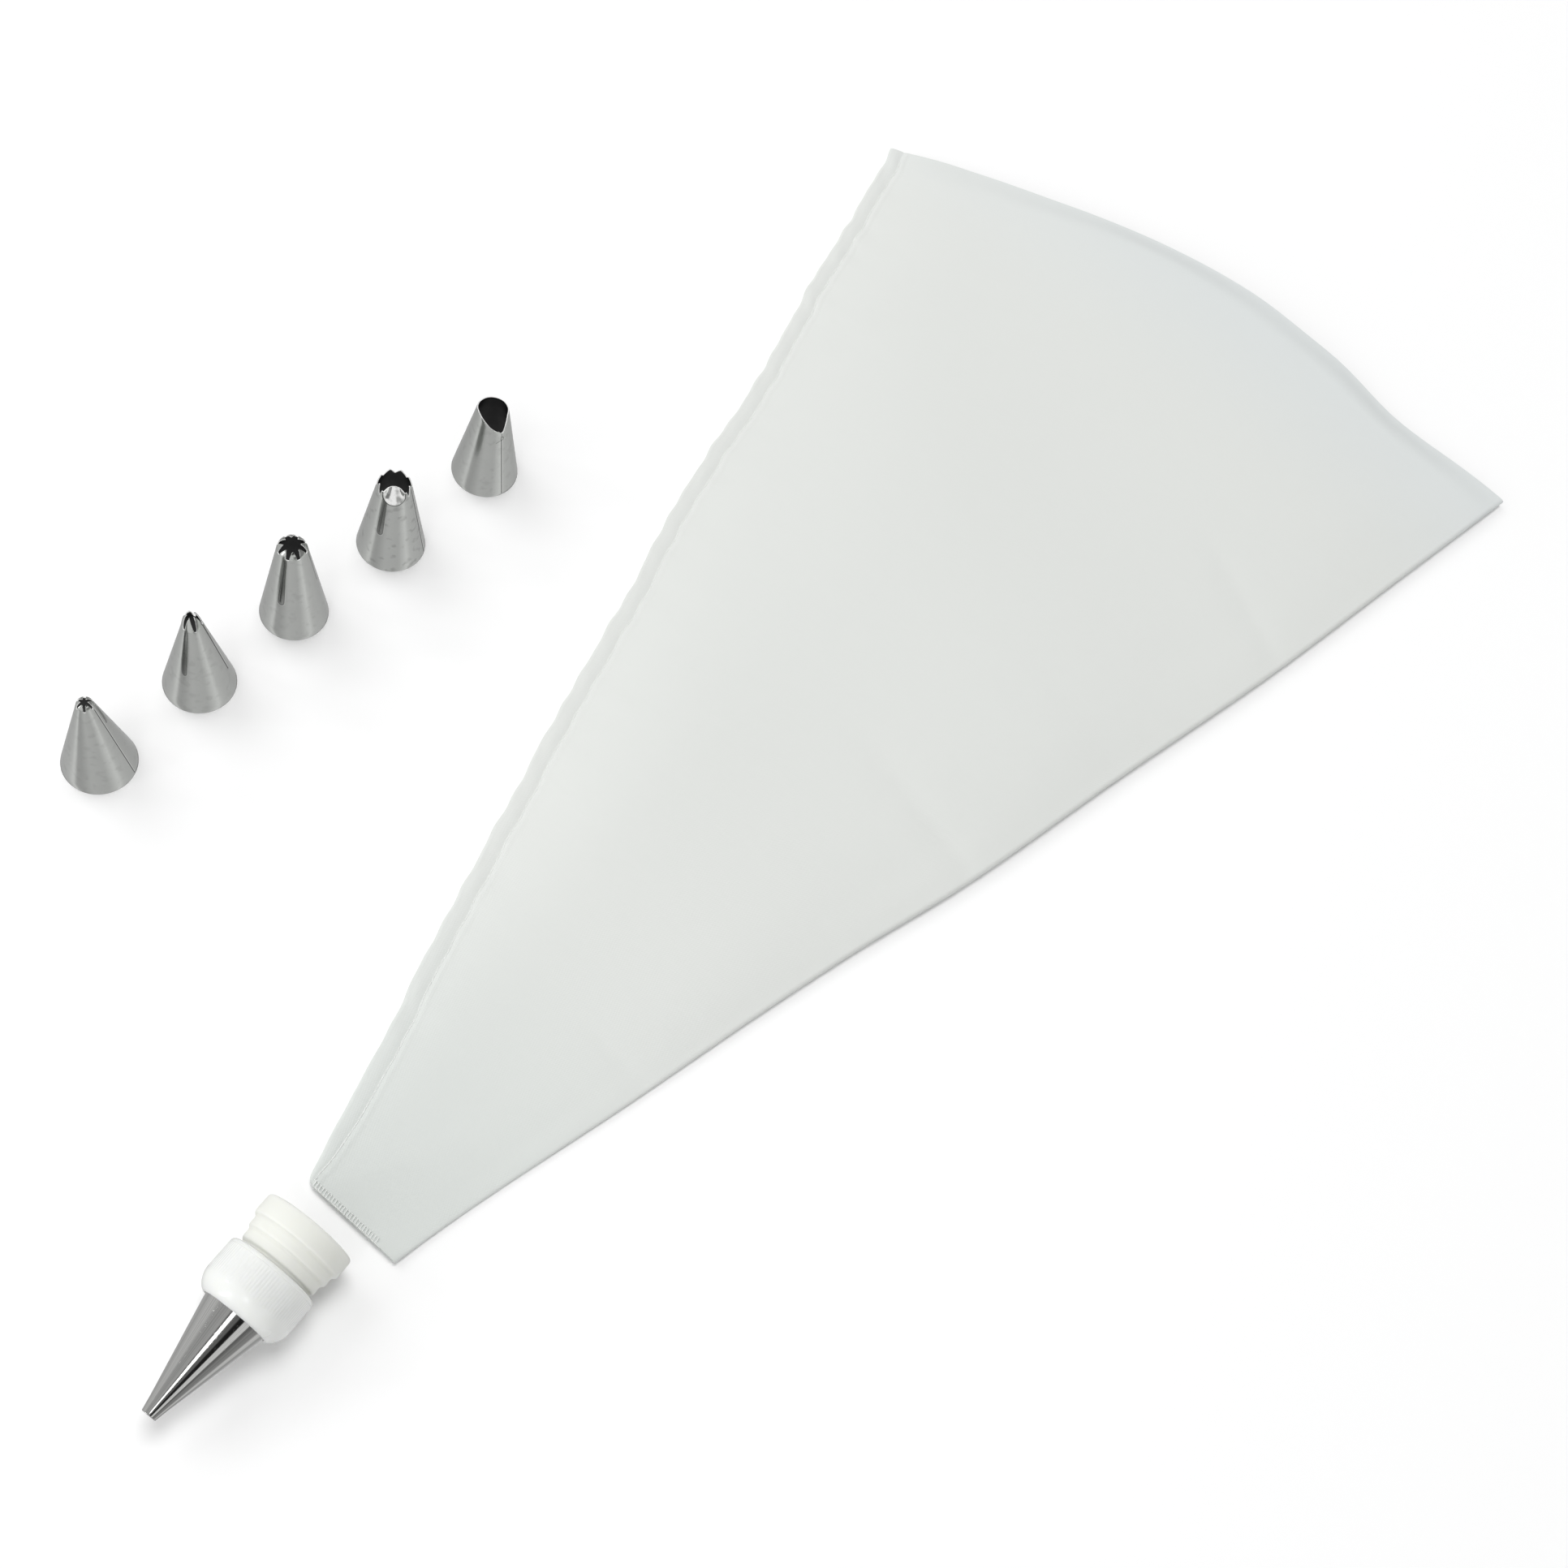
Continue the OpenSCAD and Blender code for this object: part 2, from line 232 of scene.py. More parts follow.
streakTaper = 14  # millimetres over which a pressed streak narrows
satinLook = {  # pressed steel, with the colours of its marks, and the painted highlight, shade and reflection of its seam, streak and lip
    "bright": rgb(200, 202, 199), "clouded": rgb(184, 186, 183), "stained": rgb(120, 121, 118),
    "seam": rgb(36, 36, 35), "paintedSeamHighlight": rgb(248, 249, 247), "scratch": rgb(60, 60, 58),
    "streak": rgb(158, 159, 157), "paintedStreakHighlight": rgb(230, 231, 229), "paintedStreakRimShade": rgb(106, 107, 105),
    "paintedStreakCoreShade": rgb(84, 85, 83), "paintedLipReflection": rgb(253, 253, 252), "paintedLipReflectionDark": rgb(170, 171, 169),
    "paintedLipCreaseShade": rgb(70, 71, 69), "stain": 0.12, "roughness": 0.13, "grainDepth": 0.02 * mm,
    "seamDepth": 0.12 * mm, "lipDepth": 0.15 * mm,
}


def satinRecipe(board, spec):
    look, seam = satinLook, spec["seam"]
    turn, height, _ = uvPlace(board)  # turns from +X, and height in metres
    place = objectPlace(board)
    radius = spec["base"] * mm - height * ((spec["base"] - spec["shoulder"]) / spec["height"])

    def sideways(angle):  # signed distance along the wall from a line down it
        off = board.maths("WRAP", turn - angle, -0.5, 0.5)
        return off * radius * (2 * math.pi)

    off = sideways(seam["turn"] / 360)
    cloud = board.noise(place, 210.0, 4.0, 0.6)
    fine = board.noise(place, 1500.0, 3.0)
    stain = board.ramp(board.noise(place, 480.0, 1.0), 0.54, 0.74) * spec.get("stain", look["stain"])
    shade = board.blend(cloud * 0.5, look["bright"], look["clouded"])
    shade = board.blend(stain, shade, look["stained"])
    shade, bumps = drawSeam(board, seam, off, height, shade)
    if spec["streak"]:
        shade = drawStreak(board, spec["streak"], sideways, height, shade)
    for scratch in spec.get("scratch", []):
        shade = drawScratch(board, scratch, off, height, shade)
    rough = cloud * 0.05 + fine * 0.05 + look["roughness"]
    dents = board.bump(fine * 0.25 + cloud, look["grainDepth"], 0.3)
    if spec.get("lip"):
        shade, rough, dents = drawLip(board, spec, place, shade, rough, dents)
    return {"Base Color": shade, "Metallic": 1.0, "Roughness": rough,
            "Normal": board.bump(bumps, look["seamDepth"], 0.7, dents)}


def drawSeam(board, seam, off, height, shade):  # a welded seam, as a dark line with a painted highlight beside it
    wide, low, high = seam["wide"] * mm, seam["low"], seam["high"]
    span = board.ramp(height, low * mm, (low + 0.4) * mm)
    span = span * board.ramp(height, (high - 0.4) * mm, high * mm, 1.0, 0.0)
    line = board.line(off, 0.0, wide) * span
    highlightLine = board.line(off, wide * 1.7, wide) * span
    ledge = board.ramp(off, -0.12 * mm, 0.12 * mm) * span
    # painted highlight beside the seam
    shade = board.blend(highlightLine * 0.5, shade, satinLook["paintedSeamHighlight"])
    shade = board.blend(line * 0.93, shade, satinLook["seam"])
    return shade, ledge * 0.6 - line * 0.5


def drawStreak(board, streak, sideways, height, shade):  # the forming tool's pressed groove, with a round foot, in painted shade with a painted highlight beside it
    low, high = streak["low"], streak["high"]
    across = sideways((height * (streak["lean"] / mm) + (streak["turn"] - streak["lean"] * low)) / 360)
    wide = board.ramp(height, low * mm, (low + streakTaper) * mm, streak["wide"] * mm, streak["narrow"] * mm)
    past = board.maths("MAXIMUM", -height + (low + streak["wide"] * 1.5) * mm, 0.0) * 0.67
    away = board.maths("SQRT", across * across + past * past) / wide
    inside = board.ramp(away, 0.92, 1.02, 1.0, 0.0)
    inside = inside * board.ramp(height, (high - 0.6) * mm, high * mm, 1.0, 0.0)
    rim = board.line(away, 0.9, 0.16) * inside
    core = board.line(across / wide, -0.22, 0.3) * inside * board.ramp(past, 0.0, 0.5 * mm, 1.0, 0.0)
    middle = inside * board.ramp(across / wide, -0.6, 0.8, 0.95, 0.65)
    # painted highlight outside the groove, then painted shade over its inside, darker to one side, at its rim
    # and along its core
    shade = board.blend(board.line(away, 1.12, 0.16) * 0.35, shade, satinLook["paintedStreakHighlight"])
    shade = board.blend(middle, shade, satinLook["streak"])
    shade = board.blend(rim * 0.6, shade, satinLook["paintedStreakRimShade"])
    return board.blend(core * streak["core"], shade, satinLook["paintedStreakCoreShade"])


def drawScratch(board, scratch, off, height, shade):  # a small ring, or a line from a point by (a, b)
    kind, across, up, a, b = scratch
    t, z = off - across * mm, height - up * mm
    if kind == "ring":
        mark = board.line(board.maths("SQRT", t * t + z * z * 0.6), a * mm, 0.11 * mm)
    else:
        long = (t * a + z * b) / (a * a + b * b)
        mark = board.line(t * b - z * a, 0.0, 0.1 * mm * math.hypot(a, b))
        mark = mark * board.ramp(long, -0.05 * mm, 0.05 * mm)
        mark = mark * board.ramp(long, 0.95 * mm, 1.05 * mm, 1.0, 0.0)
    return board.blend(mark * 0.75, shade, satinLook["scratch"])


def drawLip(board, spec, place, shade, rough, dents):  # the pressed flat below the shell's mouth, with a painted reflection and painted shade along its crease
    x, y, z = board.parts(place)
    facing, foot = math.radians(shellLip["turn"]), 25.0
    x, y = x - spec["place"][0] * mm, y - spec["place"][1] * mm
    side = y * math.cos(facing) - x * math.sin(facing)
    low = board.maths("MINIMUM", z - shellLip["middle"] * mm, 0.0) / (shellLip["drop"] * mm)
    front = board.ramp(x * math.cos(facing) + y * math.sin(facing), 0.3 * mm, 0.8 * mm)
    reach = board.maths("SQRT", (side / (shellLip["wide"] * mm)) ** 2.0 + low * low)
    pressed = board.ramp(reach, 0.9, 1.0, 1.0, 0.0) * front * board.ramp(z, foot * mm, (foot + 0.6) * mm)
    rim = board.line(reach, 1.03, 0.07) * front * board.ramp(z, foot * mm, (foot + 0.3) * mm)
    marble = board.noise(board.vector(side, z * 1.2, 0.004), 420.0, 1.5, 0.5)
    # painted reflection, bright and blotchy, on the pressed flat, and painted shade along its crease
    paintedReflection = board.blend(board.ramp(marble, 0.41, 0.62), satinLook["paintedLipReflection"], satinLook["paintedLipReflectionDark"])
    shade = board.blend(pressed, shade, paintedReflection)
    shade = board.blend(rim * 0.8, shade, satinLook["paintedLipCreaseShade"])
    dents = board.bump(marble * pressed, satinLook["lipDepth"], 0.5, dents)
    return shade, rough - pressed * 0.06, dents


# painted shade: the nozzles' insides are coloured near black for the shade in their hollows
paintedShadeInsideLook = {"dark": rgb(4, 4, 5), "light": rgb(18, 18, 19), "roughness": 0.45}


def paintedShadeInsideRecipe(board, look):
    cloud = board.noise(objectPlace(board), 260.0, 3.0)
    return {"Base Color": board.blend(cloud, look["dark"], look["light"]), "Metallic": 0.2,
            "Roughness": cloud * 0.15 + look["roughness"], "Specular IOR Level": 0.1}


# the cut rims are painted near white, a painted highlight along them; the burr noise is their own grain
cutEdgeLook = {"light": rgb(252, 252, 251), "dark": rgb(228, 229, 227), "roughness": 0.3, "depth": 0.02 * mm}


def cutEdgeRecipe(board, look):
    burr = board.noise(objectPlace(board), 2600.0, 2.0)
    return {"Base Color": board.blend(burr * 0.5, look["light"], look["dark"]), "Metallic": 0.25,
            "Roughness": burr * 0.15 + look["roughness"], "Normal": board.bump(burr, look["depth"], 0.4)}


cloth = makeFinish("coated cloth", clothRecipe, clothLook)
thread = makeFinish("sewing thread", threadRecipe, threadLook)
basePlastic = makeFinish("matt white plastic", plasticRecipe, basePlasticLook)
ringPlastic = makeFinish("gloss white plastic", plasticRecipe, ringPlasticLook)
polishedSteel = makeFinish("polished steel", polishedRecipe, polishedLook)
paintedShadeInside = makeFinish("steel inside", paintedShadeInsideRecipe, paintedShadeInsideLook)
cutEdge = makeFinish("cut steel edge", cutEdgeRecipe, cutEdgeLook)
print("finishes made")


def addObject(name, mesh, materials=()):  # at the origin, where every finished piece stays
    made = bpy.data.objects.new(name, mesh)
    scene.collection.objects.link(made)
    for material in materials:
        mesh.materials.append(material)
    return made


def meshFrom(name, points, faces):
    mesh = bpy.data.meshes.new(name)
    mesh.from_pydata([tuple(p) for p in points], [], faces)
    mesh.update()
    return mesh


def aroundZ(radius, turn, height):  # a point in metres from millimetres and radians
    return radius * math.cos(turn) * mm, radius * math.sin(turn) * mm, height * mm


def gridFaces(rows, columns, closedRows=False, closedColumns=False):
    rowSteps, columnSteps = rows - (not closedRows), columns - (not closedColumns)
    return [(i * columns + j, i * columns + (j + 1) % columns,
             (i + 1) % rows * columns + (j + 1) % columns, (i + 1) % rows * columns + j)
            for i in range(rowSteps) for j in range(columnSteps)]


def setUv(mesh, values):  # one pair for each face corner
    layer = mesh.uv_layers.new(name="surface")
    layer.data.foreach_set("uv", np.array(values, np.float32).ravel())


def corners(mesh):  # where each face corner is
    spots = np.zeros(len(mesh.vertices) * 3)
    mesh.vertices.foreach_get("co", spots)
    index = np.zeros(len(mesh.loops), int)
    mesh.loops.foreach_get("vertex_index", index)
    return spots.reshape(-1, 3)[index]


def turnUv(mesh):  # U is turns round Z, without a jump inside a face, V is height
    spots = corners(mesh)
    turn = np.arctan2(spots[:, 1], spots[:, 0]) / (2 * math.pi)
    for face in mesh.polygons:
        own = turn[face.loop_start:face.loop_start + face.loop_total]
        if own.max() - own.min() > 0.5:
            own[own < 0] += 1.0
    setUv(mesh, np.column_stack([turn, spots[:, 2]]))


def smoothFaces(mesh, angle):  # edges over this angle, in degrees, stay sharp
    mesh.polygons.foreach_set("use_smooth", [True] * len(mesh.polygons))
    mesh.set_sharp_from_angle(angle=math.radians(angle))


def bake(piece):  # what the modifiers make, as a plain mesh
    evaluated = piece.evaluated_get(bpy.context.evaluated_depsgraph_get())
    mesh = bpy.data.meshes.new_from_object(evaluated)
    piece.modifiers.clear()
    piece.data = mesh
    return piece


def curveThrough(points):  # smooth curve through (place, value) pairs
    places, values = np.array(points, float).T
    slopes = np.gradient(values, places)

    def at(x):
        k = np.clip(np.searchsorted(places, x) - 1, 0, len(places) - 2)
        span = places[k + 1] - places[k]
        t = np.clip((x - places[k]) / span, 0, 1)
        return ((2 * t**3 - 3 * t**2 + 1) * values[k] + (t**3 - 2 * t**2 + t) * span * slopes[k]
                + (3 * t**2 - 2 * t**3) * values[k + 1] + (t**3 - t**2) * span * slopes[k + 1])
    return at


def step(x, low, high):
    t = np.clip((x - low) / (high - low), 0, 1)
    return t * t * (3 - 2 * t)


def unevenWave(x, lengths, seed):  # sum of sines that never quite repeats
    random = np.random.default_rng(seed)
    waves = [np.sin(2 * math.pi * x / length + random.uniform(0, 6.28)) for length in lengths]
    return sum(waves) / len(waves)


def roundedOutline(spots, steps=5):  # closed outline of (along, radius, rounding) corners
    line = []
    for k, (along, radius, rounding) in enumerate(spots):
        here = Vector((along, radius))
        if not rounding:
            line.append(here)
            continue
        before = Vector(spots[k - 1][:2]) - here
        after = Vector(spots[(k + 1) % len(spots)][:2]) - here
        a = here + before.normalized() * min(rounding, before.length * 0.48)
        b = here + after.normalized() * min(rounding, after.length * 0.48)
        for t in np.linspace(0, 1, steps):
            line.append(a * (1 - t)**2 + here * 2 * t * (1 - t) + b * t**2)
    return line


def latheMesh(name, outline, segments):  # turns a closed outline round Z, in millimetres
    turns = [2 * math.pi * k / segments for k in range(segments)]
    points = [aroundZ(spot.y, turn, spot.x) for spot in outline for turn in turns]
    mesh = meshFrom(name, points, gridFaces(len(outline), segments, True, True))
    fixNormals(mesh)
    return mesh


def fixNormals(mesh):
    work = bmesh.new()
    work.from_mesh(mesh)
    bmesh.ops.recalc_face_normals(work, faces=work.faces)
    if work.calc_volume(signed=True) < 0:
        bmesh.ops.reverse_faces(work, faces=work.faces)
    work.to_mesh(mesh)
    work.free()


def joinMeshes(name, meshes):
    work = bmesh.new()
    for mesh in meshes:
        work.from_mesh(mesh)
    joined = bpy.data.meshes.new(name)
    work.to_mesh(joined)
    work.free()
    return joined


def settle(piece, body, nodes):  # the finished piece rides on its body in place of its nodes
    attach(piece, body)
    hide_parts(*nodes)
    return piece


cameraPlan = {"place": (0.04982, -0.25914, 0.4292), "heading": 11.506, "tilt": 62.85, "roll": -29.52,
              "lens": 41.87, "sensor": 36.0, "clip": (0.01, 20)}


def placeCamera(plan):
    heading, tilt, roll = (math.radians(plan[k]) for k in ("heading", "tilt", "roll"))
    ahead = Vector((-math.sin(heading), math.cos(heading), 0))
    side = Vector((math.cos(heading), math.sin(heading), 0))
    look = ahead * math.cos(tilt) - Vector((0, 0, 1)) * math.sin(tilt)
    down = look.cross(side)
    right = side * math.cos(roll) + down * math.sin(roll)
    below = down * math.cos(roll) - side * math.sin(roll)
    eye = bpy.data.objects.new("camera", bpy.data.cameras.new("camera"))
    scene.collection.objects.link(eye)
    turned = Matrix((right, -below, -look)).transposed().to_4x4()
    eye.matrix_world = Matrix.Translation(plan["place"]) @ turned
    eye.data.lens, eye.data.sensor_width = plan["lens"], plan["sensor"]
    eye.data.clip_start, eye.data.clip_end = plan["clip"]
    scene.camera = eye


studio = {
    "floorHalf": 2.5, "floorDrop": 0.00004, "floorColour": (0.93, 0.93, 0.93, 1), "floorGlow": 0.045,
    "floorFade": (0.6, 1.3),
    "around": [  # brightness by turn about Y, in degrees from straight up towards +X
        (-180, 0.36), (-134, 0.38), (-127, 0.62), (-108, 0.66), (-67, 0.64), (-60, 0.46), (-38, 0.44),
        (-12, 0.50), (-9, 0.20), (-4, 0.18), (10, 0.20), (26, 0.15), (29, 0.02), (44, 0.02), (46, 0.80),
        (66, 0.86), (69, 0.18), (80, 0.20), (85, 0.30), (110, 0.32), (150, 0.32), (180, 0.34)],
    "front": -46.0,
    "below": [  # brightness under the horizon by compass turn away from the front
        (-180, 0.50), (-142, 0.50), (-118, 0.54), (-95, 0.62), (-82, 0.70), (-74, 0.86), (-67, 0.86),
        (-61, 0.52), (-48, 0.50), (-36, 0.56), (-20, 0.66), (0, 0.64), (22, 0.62), (36, 0.76), (50, 0.90),
        (60, 0.72), (75, 0.66), (95, 0.62), (118, 0.54), (142, 0.50), (180, 0.50)],
    "horizon": (-0.42, -0.28),
    "fitted": -0.22, "fittedReach": (0.34, 0.42),  # the span of Y that the fitted nozzle reflects
    "endSpan": (-0.3, 0.1), "ends": (0.80, 0.30),  # brightness beyond that span
    "lamps": [  # name, place, aims at, width, height, watts, seen in reflections
        ("keyLamp", (-0.5, 0.7, 4.27), (0, 0, 0), 1.8, 1.8, 90.0, False),
        ("sideLamp", (-3.3, 0.3, 2.9), (0, 0, 0), 2.6, 2.4, 41.0, False),
        ("softBox", (0.05, -0.75, 1.08), (0, -0.24, 0), 0.24, 0.34, 0.9, True),
        ("sideGlint", (-0.95, -0.56, 0.66), (0, -0.23, 0), 0.13, 0.13, 0.6, True),
        ("stripGlint", (-0.55, -1.17, 0.30), (0, -0.23, 0), 0.10, 0.85, 1.6, True),
    ],
}


def rayIs(board, kind):
    return Wire(board, board.node("ShaderNodeLightPath").socket.node.outputs[kind])


def layFloor(plan):  # matt white, left out of reflections, and plain white a long way out
    half, low = plan["floorHalf"], -plan["floorDrop"]
    spots = [(-half, -half, low), (half, -half, low), (half, half, low), (-half, half, low)]
    mesh = meshFrom("floor", spots, [(0, 1, 2, 3)])
    material = bpy.data.materials.new("white floor")
    material.use_nodes = True
    board = Board(material.node_tree)
    seen = rayIs(board, "Is Camera Ray")
    matt = board.node("ShaderNodeBsdfDiffuse", None, {"Color": plan["floorColour"]})
    glow = board.node("ShaderNodeEmission", None, {"Strength": seen * plan["floorGlow"]})
    both = board.node("ShaderNodeAddShader", None, {0: matt, 1: glow})
    x, y, z = board.parts(objectPlace(board))
    far = board.ramp(board.maths("SQRT", x * x + y * y), *plan["floorFade"])
    white = board.node("ShaderNodeEmission", None, {"Strength": 1.0})
    both = board.node("ShaderNodeMixShader", None, {0: seen * far, 1: both, 2: white})
    clear = board.node("ShaderNodeBsdfTransparent")
    whole = board.node("ShaderNodeMixShader", None, {0: rayIs(board, "Is Glossy Ray"), 1: both, 2: clear})
    board.node("ShaderNodeOutputMaterial", None, {"Surface": whole})
    addObject("floor", mesh, [material])


def turnRamp(board, stops, rise, run):  # brightness by the turn that rise and run give
    turn = board.maths("ARCTAN2", rise, run) / (2 * math.pi) + 0.5
    stops = [(a / 360 + 0.5, level) for a, level in stops]
    return board.node("ShaderNodeValToRGB", {"stops": stops}, {0: turn})


def buildWorld(plan):  # what the metals reflect, and white to the camera
    scene.world = bpy.data.worlds.new("studio")
    scene.world.use_nodes = True
    board = Board(scene.world.node_tree)
    x, y, z = board.parts(board.node("ShaderNodeTexCoord"))
    around = turnRamp(board, plan["around"], x, z)
    front = math.radians(plan["front"])
    ahead = x * math.cos(front) + y * math.sin(front)
    aside = y * math.cos(front) - x * math.sin(front)
    below = turnRamp(board, plan["below"], aside, ahead)
    ends = board.ramp(board.maths("ABSOLUTE", y - plan["fitted"]), *plan["fittedReach"])
    level = board.ramp(y, *plan["endSpan"], *plan["ends"])
    around = board.blend(ends, around, board.vector(level, level, level))
    sky = board.blend(board.ramp(z, *plan["horizon"]), below, around)
    sky = board.blend(rayIs(board, "Is Camera Ray"), sky, (1.0, 1.0, 1.0, 1.0))
    background = board.node("ShaderNodeBackground", None, {"Color": sky})
    board.node("ShaderNodeOutputWorld", None, {"Surface": background})


def hangLamps(plan):
    for name, place, aim, width, height, watts, reflected in plan["lamps"]:
        lamp = bpy.data.objects.new(name, bpy.data.lights.new(name, "AREA"))
        scene.collection.objects.link(lamp)
        lamp.data.shape, lamp.data.size, lamp.data.size_y = "RECTANGLE", width, height
        lamp.data.energy = watts
        lamp.visible_glossy = reflected
        lamp.location = place
        lamp.rotation_mode = "QUATERNION"
        lamp.rotation_quaternion = (Vector(aim) - Vector(place)).to_track_quat("-Z", "Y")


placeCamera(cameraPlan)
layFloor(studio)
buildWorld(studio)
hangLamps(studio)
scene.view_settings.view_transform = "Standard"
print("camera, floor and lamps placed")


bag = {  # one folded cloth sewn up its left edge, in millimetres
    "leftEdge": [(-200, -12.2), (-196.1, -13.5), (-156.9, -25.0), (-137.7, -31.1), (-114.6, -37.5),
                 (-85.6, -45.6), (-62.5, -51.9), (-32.1, -59.4), (2.2, -69.1), (58.1, -80.9), (91.8, -90.1),
                 (124.6, -97.6), (156.7, -105.8), (200, -116.8)],
    "foldEdge": [(-202, 13.5), (-199.4, 14.0), (-131.2, 31.7), (-98.6, 40.1), (-68.5, 48.5), (-36.5, 58.6),
                 (24.2, 74.0), (86.0, 90.1), (144.1, 103.0), (195.4, 114.4), (200, 115.4)],
    "mouthEdge": [(-105.2, 154.6), (-81.2, 165.7), (-63.0, 173.0), (-42.6, 182.0), (-35.1, 185.4),
                  (-7.5, 194.0), (10.7, 196.8), (35.7, 197.2), (46.4, 197.4), (73.2, 194.3), (96.4, 195.3),
                  (114.2, 195.4)],
    "length": 390, "tipWidth": 27.8, "mouthWidth": 219.6,
    "tipLeft": -199.1, "tipRight": -199.6,  # y of the tip's two corners
    "tipLift": 1.0, "tipReach": 9.0,  # how far the tip stands up, and the length over which that dies out
    "thickness": 0.5, "lift": 0.27, "gap": 0.03,  # lift is the lower layer's middle above the table
    "hollow": 6.2, "swell": 1.6, "archLeft": 3.3, "archRight": 3.6,  # the upper layer's rise and section
    "foldShare": 0.40, "foldLift": 1.0, "nose": 1.3,  # height of the fold's two layers, and its round
    "corner": 2.2, "hem": 1.4, "hemRise": 0.22,
    "edgeWaves": (13.1, 21.7, 34.3, 9.2), "edgeSeed": 4, "edgeSwing": 0.5, "edgeCalm": (-190, -120),
    "puckerWaves": (10.3, 14.9, 23.0), "puckerSeed": 9, "pucker": 0.28, "puckerReach": 8.0,
    "puckerCalm": (-190, -140), "rearPucker": 0.12,  # calm is where the waves grow, from the tip on
    "broadWave": 0.42, "shortWave": 0.3,
    "seam": 4.2, "seamStart": -200.5, "seamTaper": 13.0, "seamZone": 10.0, "allowance": 0.22,
    "crown": (0.14, 1.3), "groove": (0.10, 0.35), "ridge": (0.13, 0.6),  # height and half width
    "curlReach": 11.29, "curlDepth": 0.55,  # how the upper layer sinks at the mouth
    "sharpAngle": 50, "rows": 300, "zoneColumns": 26, "topColumns": 46, "foldColumns": 9, "rearColumns": 34,
    "creases": [  # from the fold inwards: (x, y) to (x, y), depth, half width
        ((90.0, 86.8), (46.0, 108.0), 0.55, 3.0), ((60.0, -30.6), (8.0, -20.0), 0.60, 3.2),
        ((32.0, -131.2), (6.0, -129.8), 0.35, 3.0), ((74.0, 24.0), (30.0, 36.0), 0.18, 5.0)],
}


def bagEdges(plan):  # x of the left edge and of the fold by y, and y of the mouth by share of the width
    left, fold = curveThrough(plan["leftEdge"]), curveThrough(plan["foldEdge"])
    shares = [((x - left(y)) / (fold(y) - left(y)), y) for x, y in plan["mouthEdge"]]
    shares[0], shares[-1] = (0.0, shares[0][1]), (1.0, shares[-1][1])

    def wavyLeft(y):
        size = 0.25 + 0.75 * step(y, *plan["edgeCalm"])
        past = np.clip(plan["corner"] - (y - plan["tipLeft"]), 0, plan["corner"])
        corner = plan["corner"] - np.sqrt(plan["corner"]**2 - past**2)
        wave = plan["edgeSwing"] * size * unevenWave(y, plan["edgeWaves"], plan["edgeSeed"])
        return left(y) + corner * 0.8 + wave
    return wavyLeft, fold, curveThrough(shares)


def seamPlace(plan, y):  # how far the seam is from the left edge
    return plan["seam"] * np.tanh((y - plan["seamStart"]) / plan["seamTaper"])


def tipLift(plan, y):
    return plan["tipLift"] * np.exp(-(y - plan["tipLeft"]) / plan["tipReach"])


def hump(x, height, reach):
    return height * np.exp(-(x / reach)**2)


def alongBag(plan, mouth, v, tipShare, mouthShare):  # y of a row, where v runs from 0 at the tip to 1
    tip = plan["tipLeft"] + (plan["tipRight"] - plan["tipLeft"]) * tipShare
    return (1 - v) * tip + v * mouth(mouthShare)


def clothWaves(plan, s, v, x, y):  # the cloth's own broad waves, and its creases
    fade = step(s, 0.03, 0.3) * step(1 - s, 0.0, 0.12) * step(v, 0.0, 0.12)
    broad = plan["broadWave"] * np.sin(x / 31.0 + y / 47.0 + 0.8) * np.sin(y / 38.0 - x / 83.0)
    short = plan["shortWave"] * np.sin(y / 21.0 + x / 60.0) * step(v, 0.05, 0.5)
    z = fade * (broad + short)
    for (x0, y0), (x1, y1), depth, reach in plan["creases"]:
        line = np.array([x1 - x0, y1 - y0])
        long = np.hypot(*line)
        t = ((x - x0) * line[0] + (y - y0) * line[1]) / long**2
        off = ((x - x0) * line[1] - (y - y0) * line[0]) / long
        z -= depth * np.exp(-np.abs(off) / reach) * step(t, -0.08, 0.1) * (1 - step(t, 0.45, 1.15))
    return z


def bagHeights(plan, e, width, v, x, y):  # height of the middle of the top layer, e from the left edge
    seam = seamPlace(plan, y)
    s = np.clip((e - seam) / (width - seam), 0, 1)
    side = np.abs(1 - 2 * s)
    foldArch = 1 - (1 - plan["foldShare"]) * side**plan["archRight"]
    arch = np.where(s < 0.5, 1 - side**plan["archLeft"], foldArch)
    curl = plan["curlDepth"] * (0.55 + 0.45 * np.sin(s * 7.0 - 1.2)**2) * step(s, 0.0, 0.12)
    arch = arch * (1 - curl * (1 - step((1 - v) * plan["length"], 0, plan["curlReach"]))**1.3)
    z = plan["hollow"] * np.sin(np.pi / 2 * np.minimum(1, 2 * v))**plan["swell"] * arch
    z += clothWaves(plan, s, v, x, y)
    pucker = unevenWave(y, plan["puckerWaves"], plan["puckerSeed"])
    pucker = pucker * (0.35 + 0.65 * step(y, *plan["puckerCalm"]))
    z += plan["pucker"] * pucker * np.exp(-e / plan["puckerReach"]) * step(e, 0.2, 2.0)
    z += (hump(e - seam / 2, *plan["crown"]) - hump(e - seam + 0.2, *plan["groove"])
          + hump(e - seam - 1.2, *plan["ridge"]))
    z += plan["hemRise"] * (1 - step(v * plan["length"], 0.5, plan["hem"] + 0.8))
    return plan["lift"] + plan["thickness"] + plan["gap"] + z + tipLift(plan, y)


